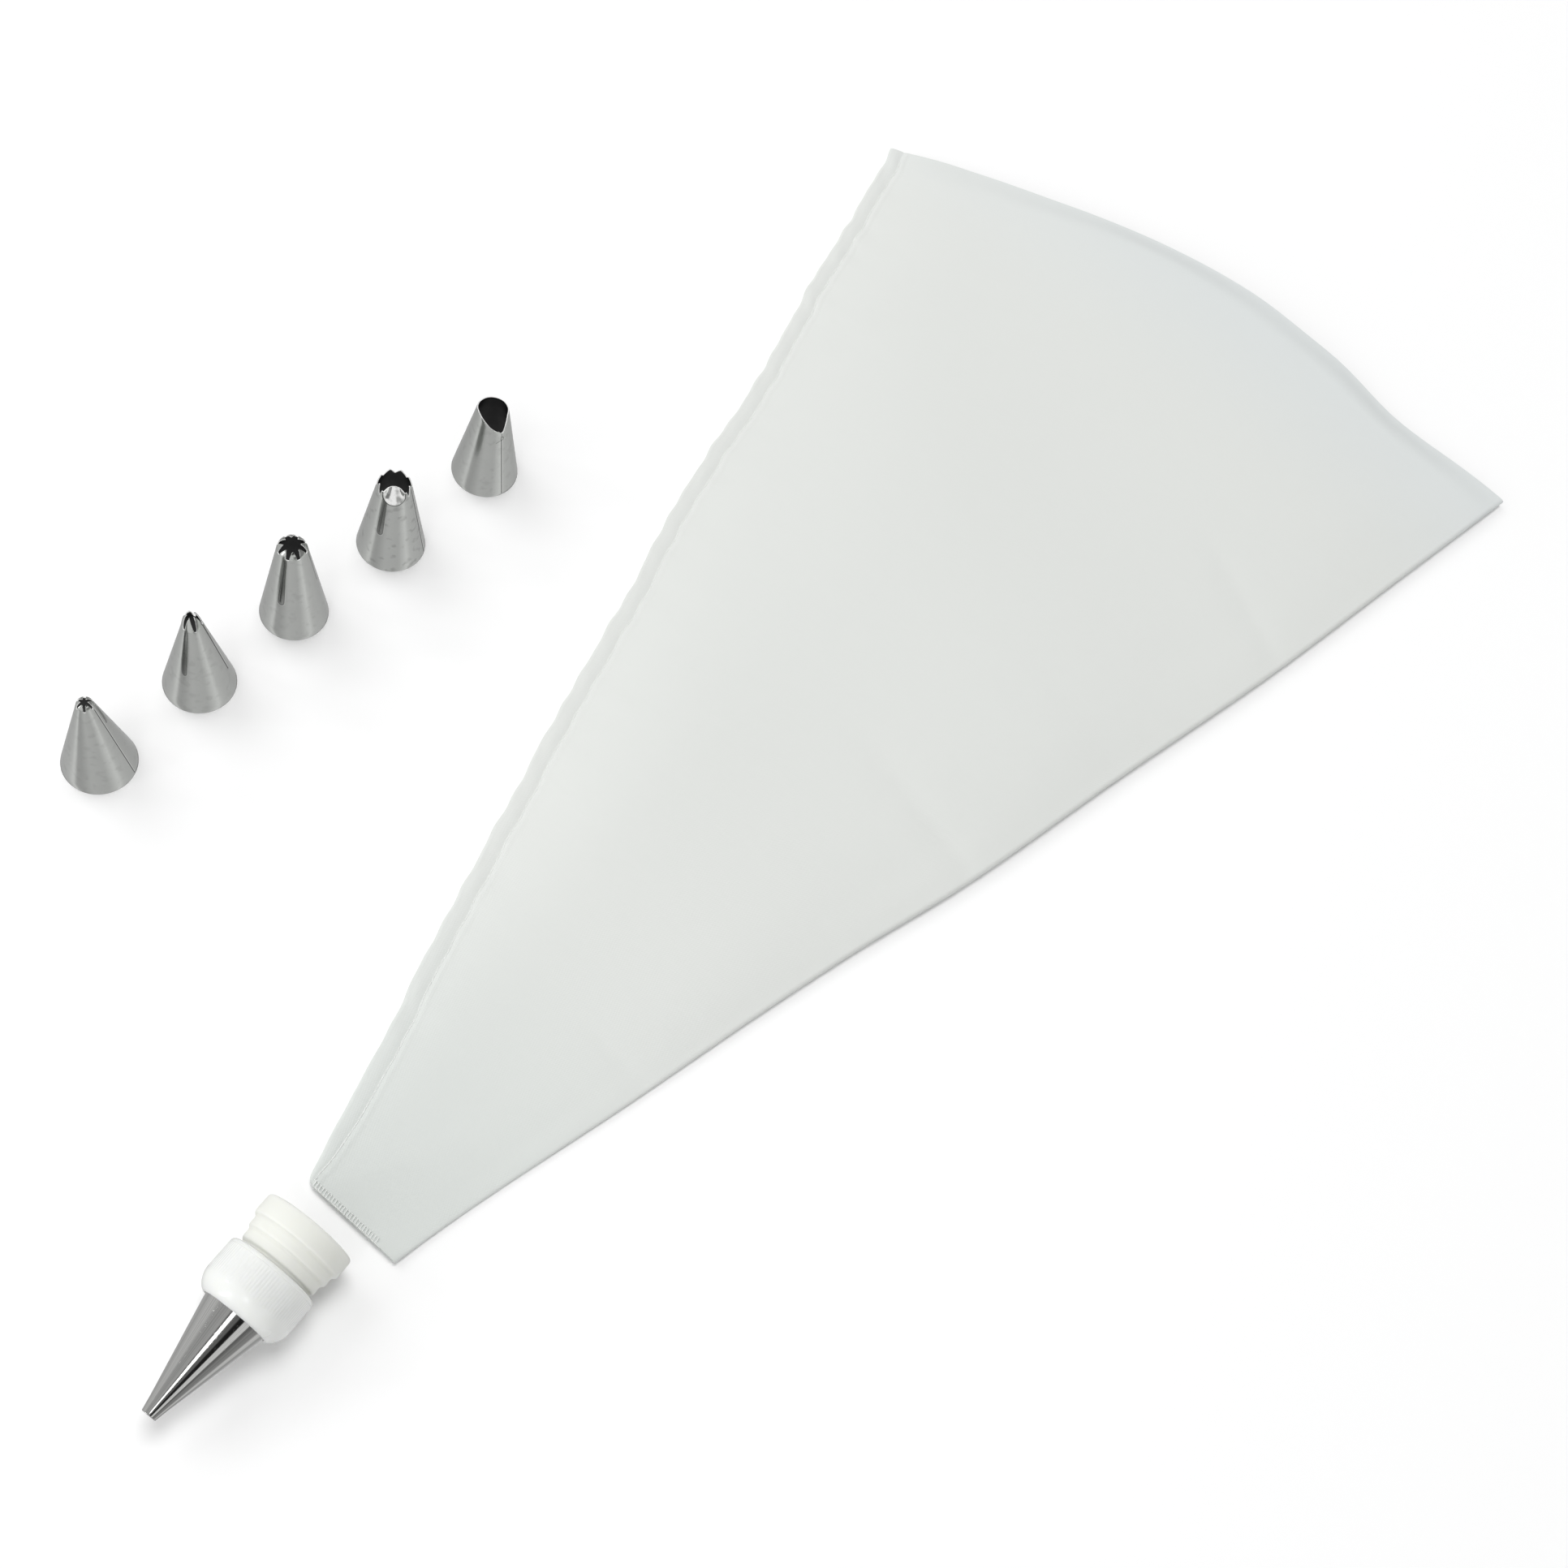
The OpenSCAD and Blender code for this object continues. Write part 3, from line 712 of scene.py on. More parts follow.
def bagMesh(plan):
    left, fold, mouth = bagEdges(plan)
    v = np.linspace(0, 1, plan["rows"])
    v = (v - 0.5 * np.sin(2 * np.pi * v) / (2 * np.pi))[:, None]  # closer rows at both ends
    zone = plan["seamZone"] * (np.linspace(0, 1, plan["zoneColumns"]) ** 1.15)[1:-1]
    nose = plan["nose"]

    def spots(e, q):  # e from the left edge, and q the share of what is left of the width
        tipShare, mouthShare = (e / plan[end] + q * (1 - e / plan[end]) for end in ("tipWidth", "mouthWidth"))
        y = alongBag(plan, mouth, v, tipShare, mouthShare)
        width = fold(y) - left(y)
        across = e + q * (width - e)
        return y, across, width

    seamSide = spots(zone[None, :], 0.0)
    rest = spots(np.full(1, plan["seamZone"]), np.linspace(0, 1, plan["topColumns"])[None, :])
    y, e, width = (np.hstack(pair) for pair in zip(seamSide, rest))
    x = left(y) + e * (1 - nose / width * (e / width))
    top = bagHeights(plan, e, width, v, x, y)
    rearY, rearE, rearWidth = spots(0.0, np.linspace(1, 0, plan["rearColumns"])[None, :])
    share = rearE / rearWidth
    rearX = left(rearY) + rearE * (1 - nose / rearWidth * share)
    rear = plan["lift"] + tipLift(plan, rearY)
    rear += plan["foldLift"] * step(share, 0.9, 1.0) * np.minimum(1, 2 * v)
    pucker = 1 + unevenWave(rearY, plan["puckerWaves"], plan["puckerSeed"])
    rear += plan["rearPucker"] * pucker * np.exp(-rearE / 3.0) * step(v, 0.02, 0.1)
    middle, half = (top[:, -1:] + rear[:, :1]) / 2, (top[:, -1:] - rear[:, :1]) / 2
    angles = np.linspace(np.pi / 2, -np.pi / 2, plan["foldColumns"] + 2)[None, 1:-1]
    allX = np.hstack([x, x[:, -1:] + nose * np.cos(angles), rearX, rearX[:, -1:] - plan["allowance"]])
    allY = np.hstack([y, y[:, -1:] + 0 * angles, rearY, rearY[:, -1:]])
    allZ = np.hstack([top, middle + half * np.sin(angles), rear, rear[:, -1:] + plan["thickness"] / 2])
    rows, columns = allX.shape
    points = np.stack([allX, allY, allZ], -1).reshape(-1, 3) * mm
    mesh = meshFrom("bagCloth", points, gridFaces(rows, columns, False, True))
    steps = np.hypot(np.diff(allX, axis=1), np.diff(allZ, axis=1))
    across = np.hstack([np.zeros((rows, 1)), np.cumsum(steps, 1)])
    across = np.hstack([across, across[:, -1:] + 0.3])  # where the last column meets the first again
    uv = []
    for i in range(rows - 1):
        for j in range(columns):
            for a, b in ((i, j), (i, j + 1), (i + 1, j + 1), (i + 1, j)):
                uv.append((across[a, b] * mm, allY[a, b % columns] * mm))
    setUv(mesh, uv)
    widths = (fold(y[:, 0]) - left(y[:, 0])) * np.gradient(y[:, 0])
    area = 2 * float(np.sum(widths)) * mm * mm  # too small: it leaves out what lies past the mouth's left end
    return mesh, area, (left, fold, mouth)


bagSheet, bagArea, bagShape = bagMesh(bag)
bagCloth = addObject("bagCloth", bagSheet, [cloth])
wall = bagCloth.modifiers.new("wall", "SOLIDIFY")
wall.thickness, wall.offset = bag["thickness"] * mm, 0
bake(bagCloth)
smoothFaces(bagCloth.data, bag["sharpAngle"])
settle(bagCloth, "bag", ["front_panel", "rear_panel", "side_seam", "tip_hem"])
print("bag cloth made,", len(bagCloth.data.polygons), "faces")


def treeFor(name, inputs):  # an empty geometry tree with named inputs
    tree = bpy.data.node_groups.new(name, "GeometryNodeTree")
    board = Board(tree)
    tree.interface.new_socket("Geometry", in_out="INPUT", socket_type="NodeSocketGeometry")
    for label, kind in inputs:
        tree.interface.new_socket(label, in_out="INPUT", socket_type="NodeSocket" + kind)
    tree.interface.new_socket("Geometry", in_out="OUTPUT", socket_type="NodeSocketGeometry")
    start = board.node("NodeGroupInput").socket.node
    return tree, board, {s.name: Wire(board, s) for s in start.outputs if s.name}


def runTree(piece, tree, values):
    modifier = piece.modifiers.new(tree.name, "NODES")
    modifier.node_group = tree
    for item in tree.interface.items_tree:
        if item.in_out == "INPUT" and item.name in values:
            modifier[item.identifier] = values[item.name]
    return bake(piece)


def threadTube(board, line, width):
    ring = board.node("GeometryNodeCurvePrimitiveCircle", {"mode": "RADIUS"},
                      {"Resolution": 6, "Radius": width / 2})
    return board.node("GeometryNodeCurveToMesh", None,
                      {"Curve": line, "Profile Curve": ring, "Fill Caps": True})


def endTree(board, geometry, material):
    real = board.node("GeometryNodeRealizeInstances", None, {"Geometry": geometry})
    painted = board.node("GeometryNodeSetMaterial", None, {"Geometry": real, "Material": material})
    board.node("NodeGroupOutput", None, {"Geometry": painted})


def stitchTree():  # arched stitches along a line
    sizes = [(label, "Float") for label in ("Pitch", "Length", "Width", "Lift", "Slant")]
    tree, board, given = treeFor("stitch row", sizes + [("Material", "Material")])
    line = board.node("GeometryNodeMeshToCurve", None, {"Mesh": given["Geometry"]})
    spaced = board.node("GeometryNodeResampleCurve", {"mode": "LENGTH"},
                        {"Curve": line, "Length": given["Pitch"]})
    half, slant = given["Length"] * 0.5, given["Slant"] * 0.5
    arc = board.node("GeometryNodeCurveQuadraticBezier", None,
                     {"Resolution": 6, "Start": board.vector(-slant, -half, given["Lift"] * -0.6),
                      "Middle": board.vector(0.0, 0.0, given["Lift"] * 1.8),
                      "End": board.vector(slant, half, given["Lift"] * -0.6)})
    stitch = threadTube(board, arc, given["Width"])
    way = board.node("GeometryNodeInputTangent")
    turn = board.node("FunctionNodeAlignRotationToVector", {"axis": "Y", "pivot_axis": "Z"}, {"Vector": way})
    row = board.node("GeometryNodeInstanceOnPoints", None,
                     {"Points": spaced, "Instance": stitch, "Rotation": turn})
    endTree(board, row, given["Material"])
    return tree


def lineObject(name, points):
    mesh = bpy.data.meshes.new(name)
    mesh.from_pydata([tuple(p) for p in points], [(k, k + 1) for k in range(len(points) - 1)], [])
    return addObject(name, mesh)


def clothTop(e, v):  # a point on top of the cloth, e from the left edge
    left, fold, mouth = bagShape
    y = alongBag(bag, mouth, v, e / bag["tipWidth"], e / bag["mouthWidth"])
    width = fold(y) - left(y)
    z = bagHeights(bag, e, width, v, left(y) + e, y) + bag["thickness"] / 2
    return left(y) + e * (1 - bag["nose"] / width * e / width), y, z


sewing = {
    "seam": {"Pitch": 1.6 * mm, "Length": 1.45 * mm, "Width": 0.3 * mm, "Lift": 0.02 * mm, "Slant": 0.0},
    "chain": {"Pitch": 0.93 * mm, "Length": 0.8 * mm, "Width": 0.24 * mm, "Lift": 0.06 * mm, "Slant": 0.0},
    "wrap": {"Pitch": 0.8 * mm, "Length": 0.3 * mm, "Width": 0.36 * mm, "Lift": 0.1 * mm, "Slant": 1.4 * mm},
    "seamSpan": (0.004, 0.985), "seamPoints": 260, "hemSpan": (0.9, 20.5), "hemPoints": 60,
    "hemRows": (("chain", 1.52, 0.06), ("wrap", 0.81, 0.1), ("chain", 0.05, 0.04)),  # inset and height
    "sharpAngle": 80,
}


def sewBag(plan):
    stitches = stitchTree()
    v = np.linspace(*plan["seamSpan"], plan["seamPoints"])
    y = clothTop(np.full(plan["seamPoints"], bag["seam"]), v)[1]
    seamThread = lineObject("seamThread", np.stack(clothTop(seamPlace(bag, y), v), -1) * mm)
    runTree(seamThread, stitches, dict(plan["seam"], Material=thread))
    rows = []
    e = np.linspace(*plan["hemSpan"], plan["hemPoints"])
    for kind, inset, above in plan["hemRows"]:
        x, y, z = clothTop(e, np.full(plan["hemPoints"], inset / bag["length"]))
        row = lineObject("hemRow", np.stack([x, y, z + above], -1) * mm)
        rows.append(runTree(row, stitches, dict(plan[kind], Material=thread)))
    hemThread = addObject("hemThread", joinMeshes("hemThread", [row.data for row in rows]), [thread])
    for row in rows:
        bpy.data.objects.remove(row)
    for piece, node in ((seamThread, "side_seam_thread"), (hemThread, "tip_hem_thread")):
        smoothFaces(piece.data, plan["sharpAngle"])
        settle(piece, "bag", [node])
    return seamThread, hemThread


seamThread, hemThread = sewBag(sewing)
print("bag sewn")


coupler = {  # its place in metres, and then millimetres along and out from its axis
    "place": (-0.004, -0.2072, 0.0116), "turn": 2.4, "sharpAngle": 38,
    "rim": 11.6, "wall": 1.3, "steps": ((4.8, 0.9), (7.6, 1.6), (10.4, 2.3)), "stepSlope": 0.55,
    "threadFrom": 12.0, "threadRoot": 8.8, "threadPitch": 3.0, "shoulder": 19.1,
    "baseThread": {"foot": 8.7, "crest": 9.5, "start": 12.8, "turns": 1.83, "wide": (1.3, 0.8)},
    "snoutEnd": 21.9, "snoutWide": 8.28, "snoutNarrow": 7.67, "bore": 6.47, "baseSides": 160,
    "ringStart": 11.6, "gripEnd": 19.5, "ringEnd": 23.8, "ringOuter": 11.4, "ringFront": 8.18,
    "ringBore": 10.0, "ringSeat": 9.17, "ringSides": 630, "domeFullness": 1.4,
    "ringLip": ((0, 0.6, 0.25), (0.4, 0.12, 0.2), (0.95, 0.06, 0.1), (1.05, 0.12, 0.06), (1.15, 0, 0.1)),
    "ringThread": {"foot": 10.1, "crest": 9.2, "start": 13.9, "turns": 1.6, "wide": (1.2, 0.7)},
    "ribs": {"Count": 90, "Depth": 0.06 * mm, "Start": 12.6 * mm, "End": 19.9 * mm, "Radius": 11.4 * mm},
}


def couplerFrame(plan):
    a = math.radians(plan["turn"])
    turned = Matrix(((math.cos(a), math.sin(a), 0), (0, 0, 1), (math.sin(a), -math.cos(a), 0)))
    return Matrix.Translation(plan["place"]) @ turned.transposed().to_4x4()


def threadRidge(plan, pitch, perTurn=60, fadeSteps=8):  # fades in and out at its ends
    foot, steps = plan["foot"], int(plan["turns"] * perTurn)
    footHalf, crestHalf = (wide / 2 for wide in plan["wide"])
    points = []
    for i in range(steps + 1):
        a, z = 2 * math.pi * i / perTurn, plan["start"] + pitch * i / perTurn
        peak = foot + (plan["crest"] - foot) * min(1, i / fadeSteps, (steps - i) / fadeSteps)
        for r, side in ((foot, -footHalf), (peak, -crestHalf), (peak, crestHalf), (foot, footHalf)):
            points.append(aroundZ(r, a, z + side))
    faces = gridFaces(steps + 1, 4, False, True) + [(0, 1, 2, 3), tuple(4 * steps + k for k in (3, 2, 1, 0))]
    mesh = meshFrom("ridge", points, faces)
    fixNormals(mesh)
    return mesh


def couplerBase(plan):
    rim, lastDrop = plan["rim"], 0
    spots = [(0, rim - plan["wall"], 0.35), (0, rim, 0.9)]
    for place, drop in plan["steps"]:
        spots += [(place, rim - lastDrop, 0.5), (place + plan["stepSlope"], rim - drop, 0.5)]
        lastDrop = drop
    spots += [(plan["ringStart"] - 0.3, rim - lastDrop, 0.2), (plan["threadFrom"], plan["threadRoot"], 0.2),
              (plan["shoulder"], plan["threadRoot"], 0.2), (plan["shoulder"], plan["snoutWide"], 0),
              (plan["snoutEnd"], plan["snoutNarrow"], 0.3), (plan["snoutEnd"], plan["bore"], 0.3),
              (plan["threadFrom"], plan["bore"], 0.8)]
    body = latheMesh("couplerBase", roundedOutline(spots), plan["baseSides"])
    return joinMeshes("couplerBase", [body, threadRidge(plan["baseThread"], plan["threadPitch"])])


def ribTree():  # fine grooves cut into a turned grip, round Z
    sizes = [(label, "Float") for label in ("Count", "Depth", "Start", "End", "Radius")]
    tree, board, given = treeFor("grip ribs", sizes + [("Material", "Material")])
    x, y, z = board.parts(board.node("GeometryNodeInputPosition"))
    radius = board.maths("SQRT", x * x + y * y)
    wave = board.maths("COSINE", board.maths("ARCTAN2", y, x) * given["Count"])
    groove = (wave * 0.5 + 0.5) ** 1.6
    outside = board.ramp(radius, given["Radius"] - 0.7 * mm, given["Radius"] - 0.2 * mm)
    along = board.ramp(z, given["Start"], given["Start"] + 0.5 * mm)
    along = along * board.ramp(z, given["End"] - 1.2 * mm, given["End"], 1.0, 0.0)
    cut = groove * outside * along * given["Depth"] * -1.0 / radius
    moved = board.node("GeometryNodeSetPosition", None,
                       {"Geometry": given["Geometry"], "Offset": board.vector(x * cut, y * cut, 0.0)})
    endTree(board, moved, given["Material"])
    return tree


def couplerRing(plan):
    outer, front = plan["ringOuter"], plan["ringFront"]
    start, gripEnd, end = plan["ringStart"], plan["gripEnd"], plan["ringEnd"]
    spots = [(start, plan["ringBore"], 0.2)]
    spots += [(start + along, outer - drop, rounding) for along, drop, rounding in plan["ringLip"]]
    spots += [(z, outer, 0) for z in np.linspace(start + 1.4, gripEnd - 0.9, 16)]
    lean, domeStart = front + 0.35, gripEnd - 0.5
    for a in np.radians(np.linspace(3, 90, 20)):
        spots.append((domeStart + (end - domeStart) * math.sin(a),
                      lean + (outer - lean) * math.cos(a)**plan["domeFullness"], 0))
    seat = gripEnd - 0.1
    spots += [(end, front, 0.2), (seat, plan["ringSeat"], 0), (seat, plan["ringBore"], 0)]
    body = latheMesh("couplerRing", roundedOutline(spots, 4), plan["ringSides"])
    ring = runTree(addObject("couplerRing", body), ribTree(), dict(plan["ribs"], Material=ringPlastic))
    mesh = joinMeshes("couplerRing", [ring.data, threadRidge(plan["ringThread"], plan["threadPitch"])])
    bpy.data.objects.remove(ring)
    return mesh


def placeOnAxis(name, mesh, materials, body, node):
    mesh.transform(couplerFrame(coupler))
    smoothFaces(mesh, coupler["sharpAngle"])
    return settle(addObject(name, mesh, materials), body, [node])


placeOnAxis("couplerBase", couplerBase(coupler), [basePlastic], "coupler", "coupler_base")
placeOnAxis("couplerRing", couplerRing(coupler), [ringPlastic], "ring", "coupler_ring")
print("coupler made")


plainNozzle = {  # millimetres, along the coupler's axis
    "start": 19.4, "base": 9.0, "wall": 0.45, "length": 29.5, "tip": 1.8, "bendFrom": 26.2,
    "bendRadius": 2.52, "sides": 144}


def plainMesh(plan):
    start, base, wall, tip = (plan[key] for key in ("start", "base", "wall", "tip"))
    end, bend, bendRadius = start + plan["length"], start + plan["bendFrom"], plan["bendRadius"]
    spots = [(z, base + (bendRadius - base) * (z - start) / (bend - start), 0)
             for z in np.linspace(start, bend, 14)[:-1]]
    spots += [(bend, bendRadius, 0.8), (end, tip, 0.12), (end, tip - wall, 0.1),
              (bend, bendRadius - wall, 0.5), (start, base - wall, 0.1)]
    mesh = latheMesh("plainNozzle", roundedOutline(spots, 4), plan["sides"])
    turnUv(mesh)
    for face in mesh.polygons:  # the hollow side gets painted shade, a near-black colour
        spot = face.center / mm
        middle = base - wall * 0.6 + (tip - base) * (spot.z - start) / (end - start) + 0.12
        face.material_index = 1 if math.hypot(spot.x, spot.y) < middle and face.normal.z > -0.9 else 0
    return mesh


placeOnAxis("plainNozzle", plainMesh(plainNozzle), [polishedSteel, paintedShadeInside], "fitted_nozzle",
            "plain_nozzle")
print("plain nozzle made")


standingNozzles = {  # corner is where a tooth bends in, gaps are half widths of a slot from its foot up
    "closedStar": {
        "body": "closed_star", "place": (-121.3, -157.6), "base": 9.0, "height": 32.6, "shoulder": 2.0,
        "bend": 1.5, "corner": (1.9, 32.2), "tip": 0.9, "count": 6, "first": -105, "slotLow": 30.9,
        "gaps": ((0, 0.14), (0.12, 0.30), (1, 0.36)),
        "seam": {"turn": 22, "low": 0.2, "high": 30.5, "wide": 0.13},
        "streak": {"turn": 39.4, "lean": 2.1, "low": 22.4, "high": 30.4, "wide": 0.5, "narrow": 0.4,
                   "core": 0.6}},
    "openStar": {
        "body": "open_star", "place": (-120.2, -126.1), "base": 9.0, "height": 33.2, "shoulder": 2.3,
        "bend": 2.6, "corner": (1.95, 32.2), "tip": 1.0, "count": 5, "first": -97, "slotLow": 29.8,
        "gaps": ((0, 0.2), (0.12, 0.42), (0.5, 0.56), (1, 0.62)), "shift": (0.8, 150),
        "seam": {"turn": 40, "low": 8.0, "high": 31.0, "wide": 0.27},
        "streak": {"turn": -72.5, "lean": -0.52, "low": 13.6, "high": 30.2, "wide": 0.76, "narrow": 0.40,
                   "core": 0.35}},
    "largeStar": {
        "body": "large_star", "place": (-118.2, -95.5), "base": 8.7, "height": 33.3, "shoulder": 3.7,
        "bend": 1.7, "corner": (3.4, 32.6), "tip": 2.2, "count": 8, "first": -64, "slotLow": 31.4,
        "gaps": ((0, 0.26), (0.1, 0.44), (0.5, 0.52), (1, 0.74)),
        "seam": {"turn": 35, "low": 18.0, "high": 31.0, "wide": 0.15},
        "streak": {"turn": -73.6, "lean": 0.1, "low": 13.4, "high": 31.4, "wide": 0.95, "narrow": 0.48,
                   "core": 0.85}},
    "shell": {
        "body": "shell", "place": (-115.2, -63.0), "base": 9.0, "height": 29.5, "shoulder": 4.35,
        "bend": 1.4, "corner": (4.3, 28.4), "tip": 3.95, "count": 6, "first": 5, "slotLow": 27.1,
        "gaps": ((0, 0.06), (0.1, 0.3), (1, 1.42)), "rows": 60, "lip": True, "stain": 0.3,
        "seam": {"turn": 26, "low": 0.2, "high": 28.6, "wide": 0.22},
        "streak": {"turn": -77, "lean": 0.11, "low": 13.3, "high": 26.6, "wide": 0.93, "narrow": 0.5,
                   "core": 0.5}},
    "slanted": {
        "body": "slanted", "place": (-113.6, -28.0), "base": 9.0, "height": 28.8, "shoulder": 4.1,
        "seam": {"turn": -17, "low": 0.2, "high": 21.6, "wide": 0.14}, "streak": None,
        "scratch": [("ring", 0.22, 21.8, 0.42, 0), ("line", -0.05, 22.0, 0.35, 2.6),
                    ("line", -0.1, 21.3, -1.5, -0.75)]},
}
nozzleSteel = {  # millimetres, for all the standing nozzles
    "wall": 0.28, "softEdge": 0.05, "rows": 22, "toothRows": 15, "columnTurn": 1.25,
    "streakDepth": 0.06, "streakEnds": (1.5, 0.8), "mergeWithin": 0.04, "sharpAngle": 40,
}
shellLip = {"turn": -49, "half": 54, "foot": (4.78, 25.6), "lean": 0.7216, "ends": 29.0, "rise": 0.9,
            "middle": 27.85, "wide": 2.75, "drop": 2.2, "squeeze": 0.35, "rows": 27, "columns": 61}
slantedMouth = {"rows": 26, "columns": 160, "heights": [  # by turn from +X
    (-180, 28.1), (-150, 28.5), (-113, 28.9), (-78, 27.7), (-47, 25.6), (-26, 24.4), (-11, 23.9), (0, 25.6),
    (18, 28.0), (60, 28.3), (120, 28.0), (180, 28.1)]}


def profile(spec, z):  # outer radius of the straight wall
    shoulderZ = spec["height"] - spec.get("bend", 0)
    return spec["base"] + (spec["shoulder"] - spec["base"]) * z / shoulderZ


def wallHeights(spec):  # rows up to where the slots start
    return np.linspace(0, 1, spec.get("rows", nozzleSteel["rows"])) ** 0.9 * spec["slotLow"]


def sectorMesh(spec, half):  # one tooth and the wall below it, centred on +X
    low = spec["slotLow"]
    foot, corner, tip = (profile(spec, low), low), spec["corner"], (spec["tip"], spec["height"])
    shares, gaps = zip(*spec["gaps"])
    rows = [(profile(spec, z), z, 0.0) for z in wallHeights(spec)]
    for t in np.linspace(0, 1, nozzleSteel["toothRows"])[1:] ** 1.3:
        r, z = (foot[k] * (1 - t)**2 + corner[k] * 2 * t * (1 - t) + tip[k] * t * t for k in (0, 1))
        rows.append((r, z, float(np.interp(t, shares, gaps))))
    columns = max(8, int(half / nozzleSteel["columnTurn"] / 2) * 2) + 1
    points = []
    for r, z, gap in rows:
        reach = max(math.radians(half) - math.asin(min(0.95, gap / r)), 0.04)
        points += [aroundZ(r, a, z) for a in np.linspace(-reach, reach, columns)]
    return meshFrom("tooth", points, gridFaces(len(rows), columns))


def aroundTree():  # repeats a piece round Z
    tree, board, given = treeFor("teeth", [("Count", "Int"), ("First", "Float"), ("Step", "Float"),
                                           ("Material", "Material")])
    spots = board.node("GeometryNodePoints", None, {"Count": given["Count"]})
    index = board.node("GeometryNodeInputIndex")
    turn = board.vector(0.0, 0.0, index * given["Step"] + given["First"])
    spin = board.node("FunctionNodeEulerToRotation", None, {0: turn})
    row = board.node("GeometryNodeInstanceOnPoints", None,
                     {"Points": spots, "Instance": given["Geometry"], "Rotation": spin})
    real = board.node("GeometryNodeRealizeInstances", None, {"Geometry": row})
    whole = board.node("GeometryNodeMergeByDistance", None, {"Geometry": real, "Distance": 0.00001})
    endTree(board, whole, given["Material"])
    return tree


def toothedMesh(spec, pitch, tree):  # pitch is the turn from one tooth to the next, in degrees
    piece = addObject("teeth", sectorMesh(spec, pitch / 2))
    first = math.radians(spec["first"] + pitch / 2)
    made = runTree(piece, tree, {"Count": spec["count"], "First": first, "Step": math.radians(pitch)}).data
    bpy.data.objects.remove(piece)
    return made


def lipMesh(spec, lip):  # the broad side pressed flat below the mouth
    low, half = spec["slotLow"], lip["half"]
    rows = [(z, 0.0) for z in wallHeights(spec)]
    rows += [(low, share) for share in np.linspace(0, 1, lip["rows"])[1:]]
    points = []
    for start, share in rows:
        for a in np.linspace(-half, half, lip["columns"]):
            edge = lip["ends"] + lip["rise"] * (1 - (a / half)**2)
            z = start + share * (edge - low)
            wall = profile(spec, z)
            side, out = wall * math.sin(math.radians(a)), wall * math.cos(math.radians(a))
            reach = math.hypot(side / lip["wide"], min(z - lip["middle"], 0) / lip["drop"])
            pressed = lip["foot"][0] - (z - lip["foot"][1]) * lip["lean"]
            out -= max(0.0, out - pressed) * (1 - min(1.0, reach)**4)
            edgeGap = max(0.0, (z - low) / (lip["ends"] - low))
            squeeze = 1 - lip["squeeze"] * edgeGap / (wall * math.radians(half))
            turn = math.radians(lip["turn"]) + math.atan2(side, out) * squeeze
            points.append(aroundZ(math.hypot(side, out), turn, z))
    return meshFrom("lip", points, gridFaces(len(rows), lip["columns"]))


def slantedMesh(spec, plan):
    mouth = curveThrough(plan["heights"])
    points = []
    for share in np.linspace(0, 1, plan["rows"]):
        for k in range(plan["columns"]):
            turn = -180 + 360 * k / plan["columns"]
            z = float(mouth(turn)) * share
            points.append(aroundZ(profile(spec, z), math.radians(turn), z))
    return meshFrom("slanted", points, gridFaces(plan["rows"], plan["columns"], False, True))


def mergeOutward(mesh, within):  # merges doubles and turns an open wall's faces away from Z
    work = bmesh.new()
    work.from_mesh(mesh)
    bmesh.ops.remove_doubles(work, verts=work.verts, dist=within)
    bmesh.ops.recalc_face_normals(work, faces=work.faces)
    if sum(face.normal.xy.dot(face.calc_center_median().xy) for face in work.faces) < 0:
        bmesh.ops.reverse_faces(work, faces=work.faces)
    work.to_mesh(mesh)
    work.free()
    mesh.materials.clear()


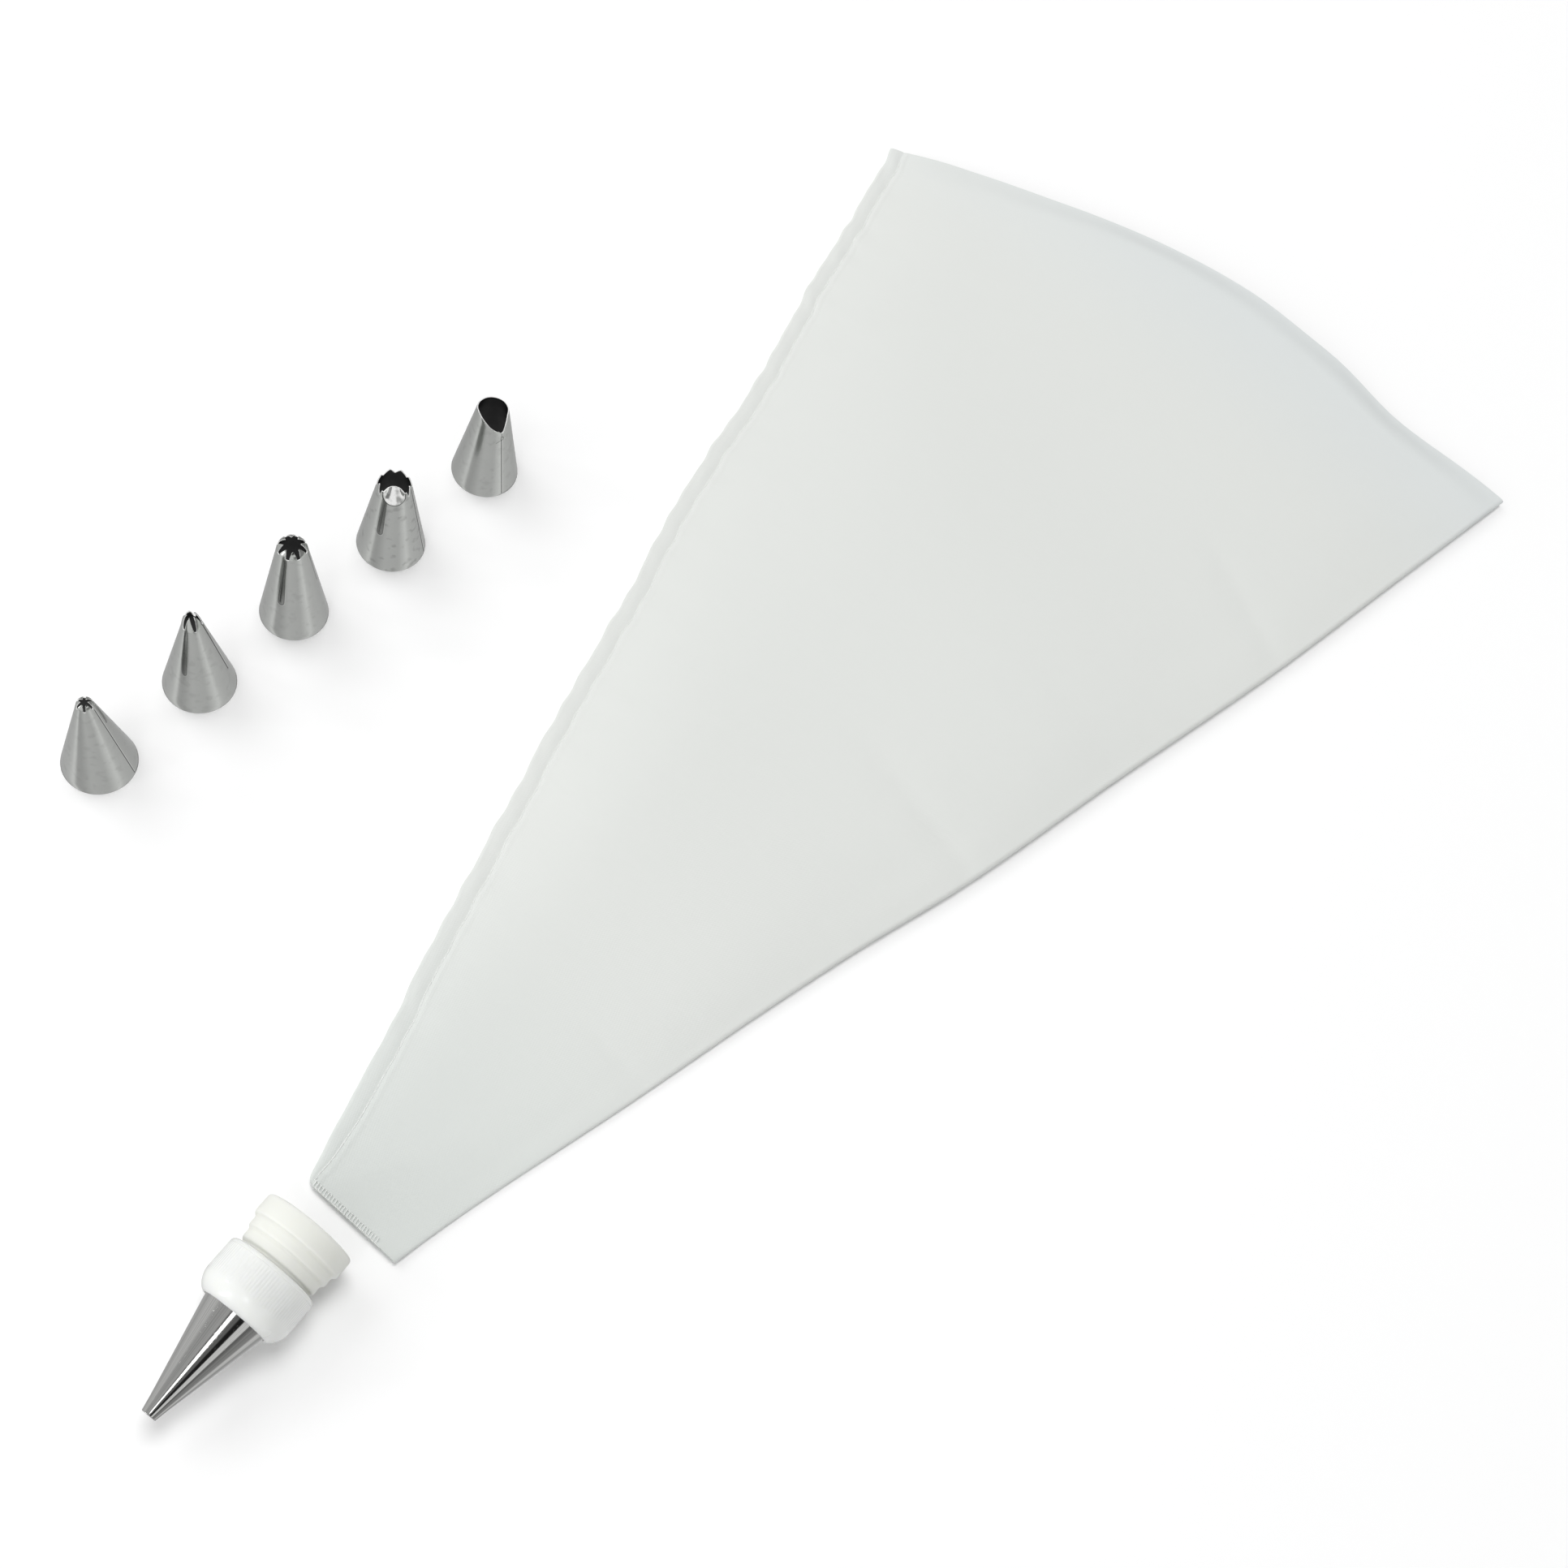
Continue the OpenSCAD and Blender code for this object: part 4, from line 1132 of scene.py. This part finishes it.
def pressStreak(mesh, streak):  # shallow groove that the forming tool leaves
    low, high = streak["low"], streak["high"]
    fromFoot, fromTop = nozzleSteel["streakEnds"]
    for vertex in mesh.vertices:
        x, y, z = vertex.co / mm
        radius = math.hypot(x, y)
        turn = streak["turn"] + streak["lean"] * (z - low)
        off = (math.degrees(math.atan2(y, x)) - turn + 180) % 360 - 180
        wide = streak["wide"] + (streak["narrow"] - streak["wide"]) * step(z, low, low + streakTaper)
        away = abs(math.radians(off)) * radius / wide
        if away < 1 and low < z < high:
            fade = min(1, (z - low) / fromFoot, (high - z) / fromTop)
            depth = nozzleSteel["streakDepth"] * (1 - away**2) * fade
            vertex.co.x *= 1 - depth / radius
            vertex.co.y *= 1 - depth / radius


def leanTop(mesh, shift, foot, top):  # the mouth sits a little off the axis
    a = math.radians(shift[1])
    for vertex in mesh.vertices:
        share = shift[0] * mm * step(vertex.co.z / mm, foot, top)
        vertex.co.x += share * math.cos(a)
        vertex.co.y += share * math.sin(a)


def nozzleWall(name, spec, tree):  # one open sheet, before it gets its thickness
    if name == "slanted":
        mesh = slantedMesh(spec, slantedMouth)
    elif name == "shell":
        teeth = toothedMesh(spec, (360 - 2 * shellLip["half"]) / spec["count"], tree)
        mesh = joinMeshes("shell", [teeth, lipMesh(spec, shellLip)])
    else:
        mesh = toothedMesh(spec, 360 / spec["count"], tree)
    mergeOutward(mesh, nozzleSteel["mergeWithin"] * mm)
    if spec["streak"]:
        pressStreak(mesh, spec["streak"])
    if "shift" in spec:
        leanTop(mesh, spec["shift"], spec["slotLow"] - 1, spec["height"])
    return mesh


def standingNozzle(name, spec, tree):
    mesh = nozzleWall(name, spec, tree)
    steel = makeFinish("satin steel " + name, satinRecipe, spec)
    piece = addObject(name + "Nozzle", mesh, [steel, paintedShadeInside, cutEdge])
    wall = piece.modifiers.new("wall", "SOLIDIFY")
    wall.thickness, wall.offset = nozzleSteel["wall"] * mm, -1
    wall.material_offset, wall.material_offset_rim = 1, 2
    soft = piece.modifiers.new("soft edges", "BEVEL")
    soft.width, soft.segments = nozzleSteel["softEdge"] * mm, 2
    soft.limit_method, soft.angle_limit = "ANGLE", math.radians(50)
    bake(piece)
    turnUv(piece.data)
    smoothFaces(piece.data, nozzleSteel["sharpAngle"])
    piece.data.transform(Matrix.Translation((spec["place"][0] * mm, spec["place"][1] * mm, 0)))
    return settle(piece, spec["body"], [spec["body"] + "_nozzle"])


teethTree = aroundTree()
for nozzleName, nozzleSpec in standingNozzles.items():
    made = standingNozzle(nozzleName, nozzleSpec, teethTree)
    print(made.name, "made,", len(made.data.polygons), "faces")
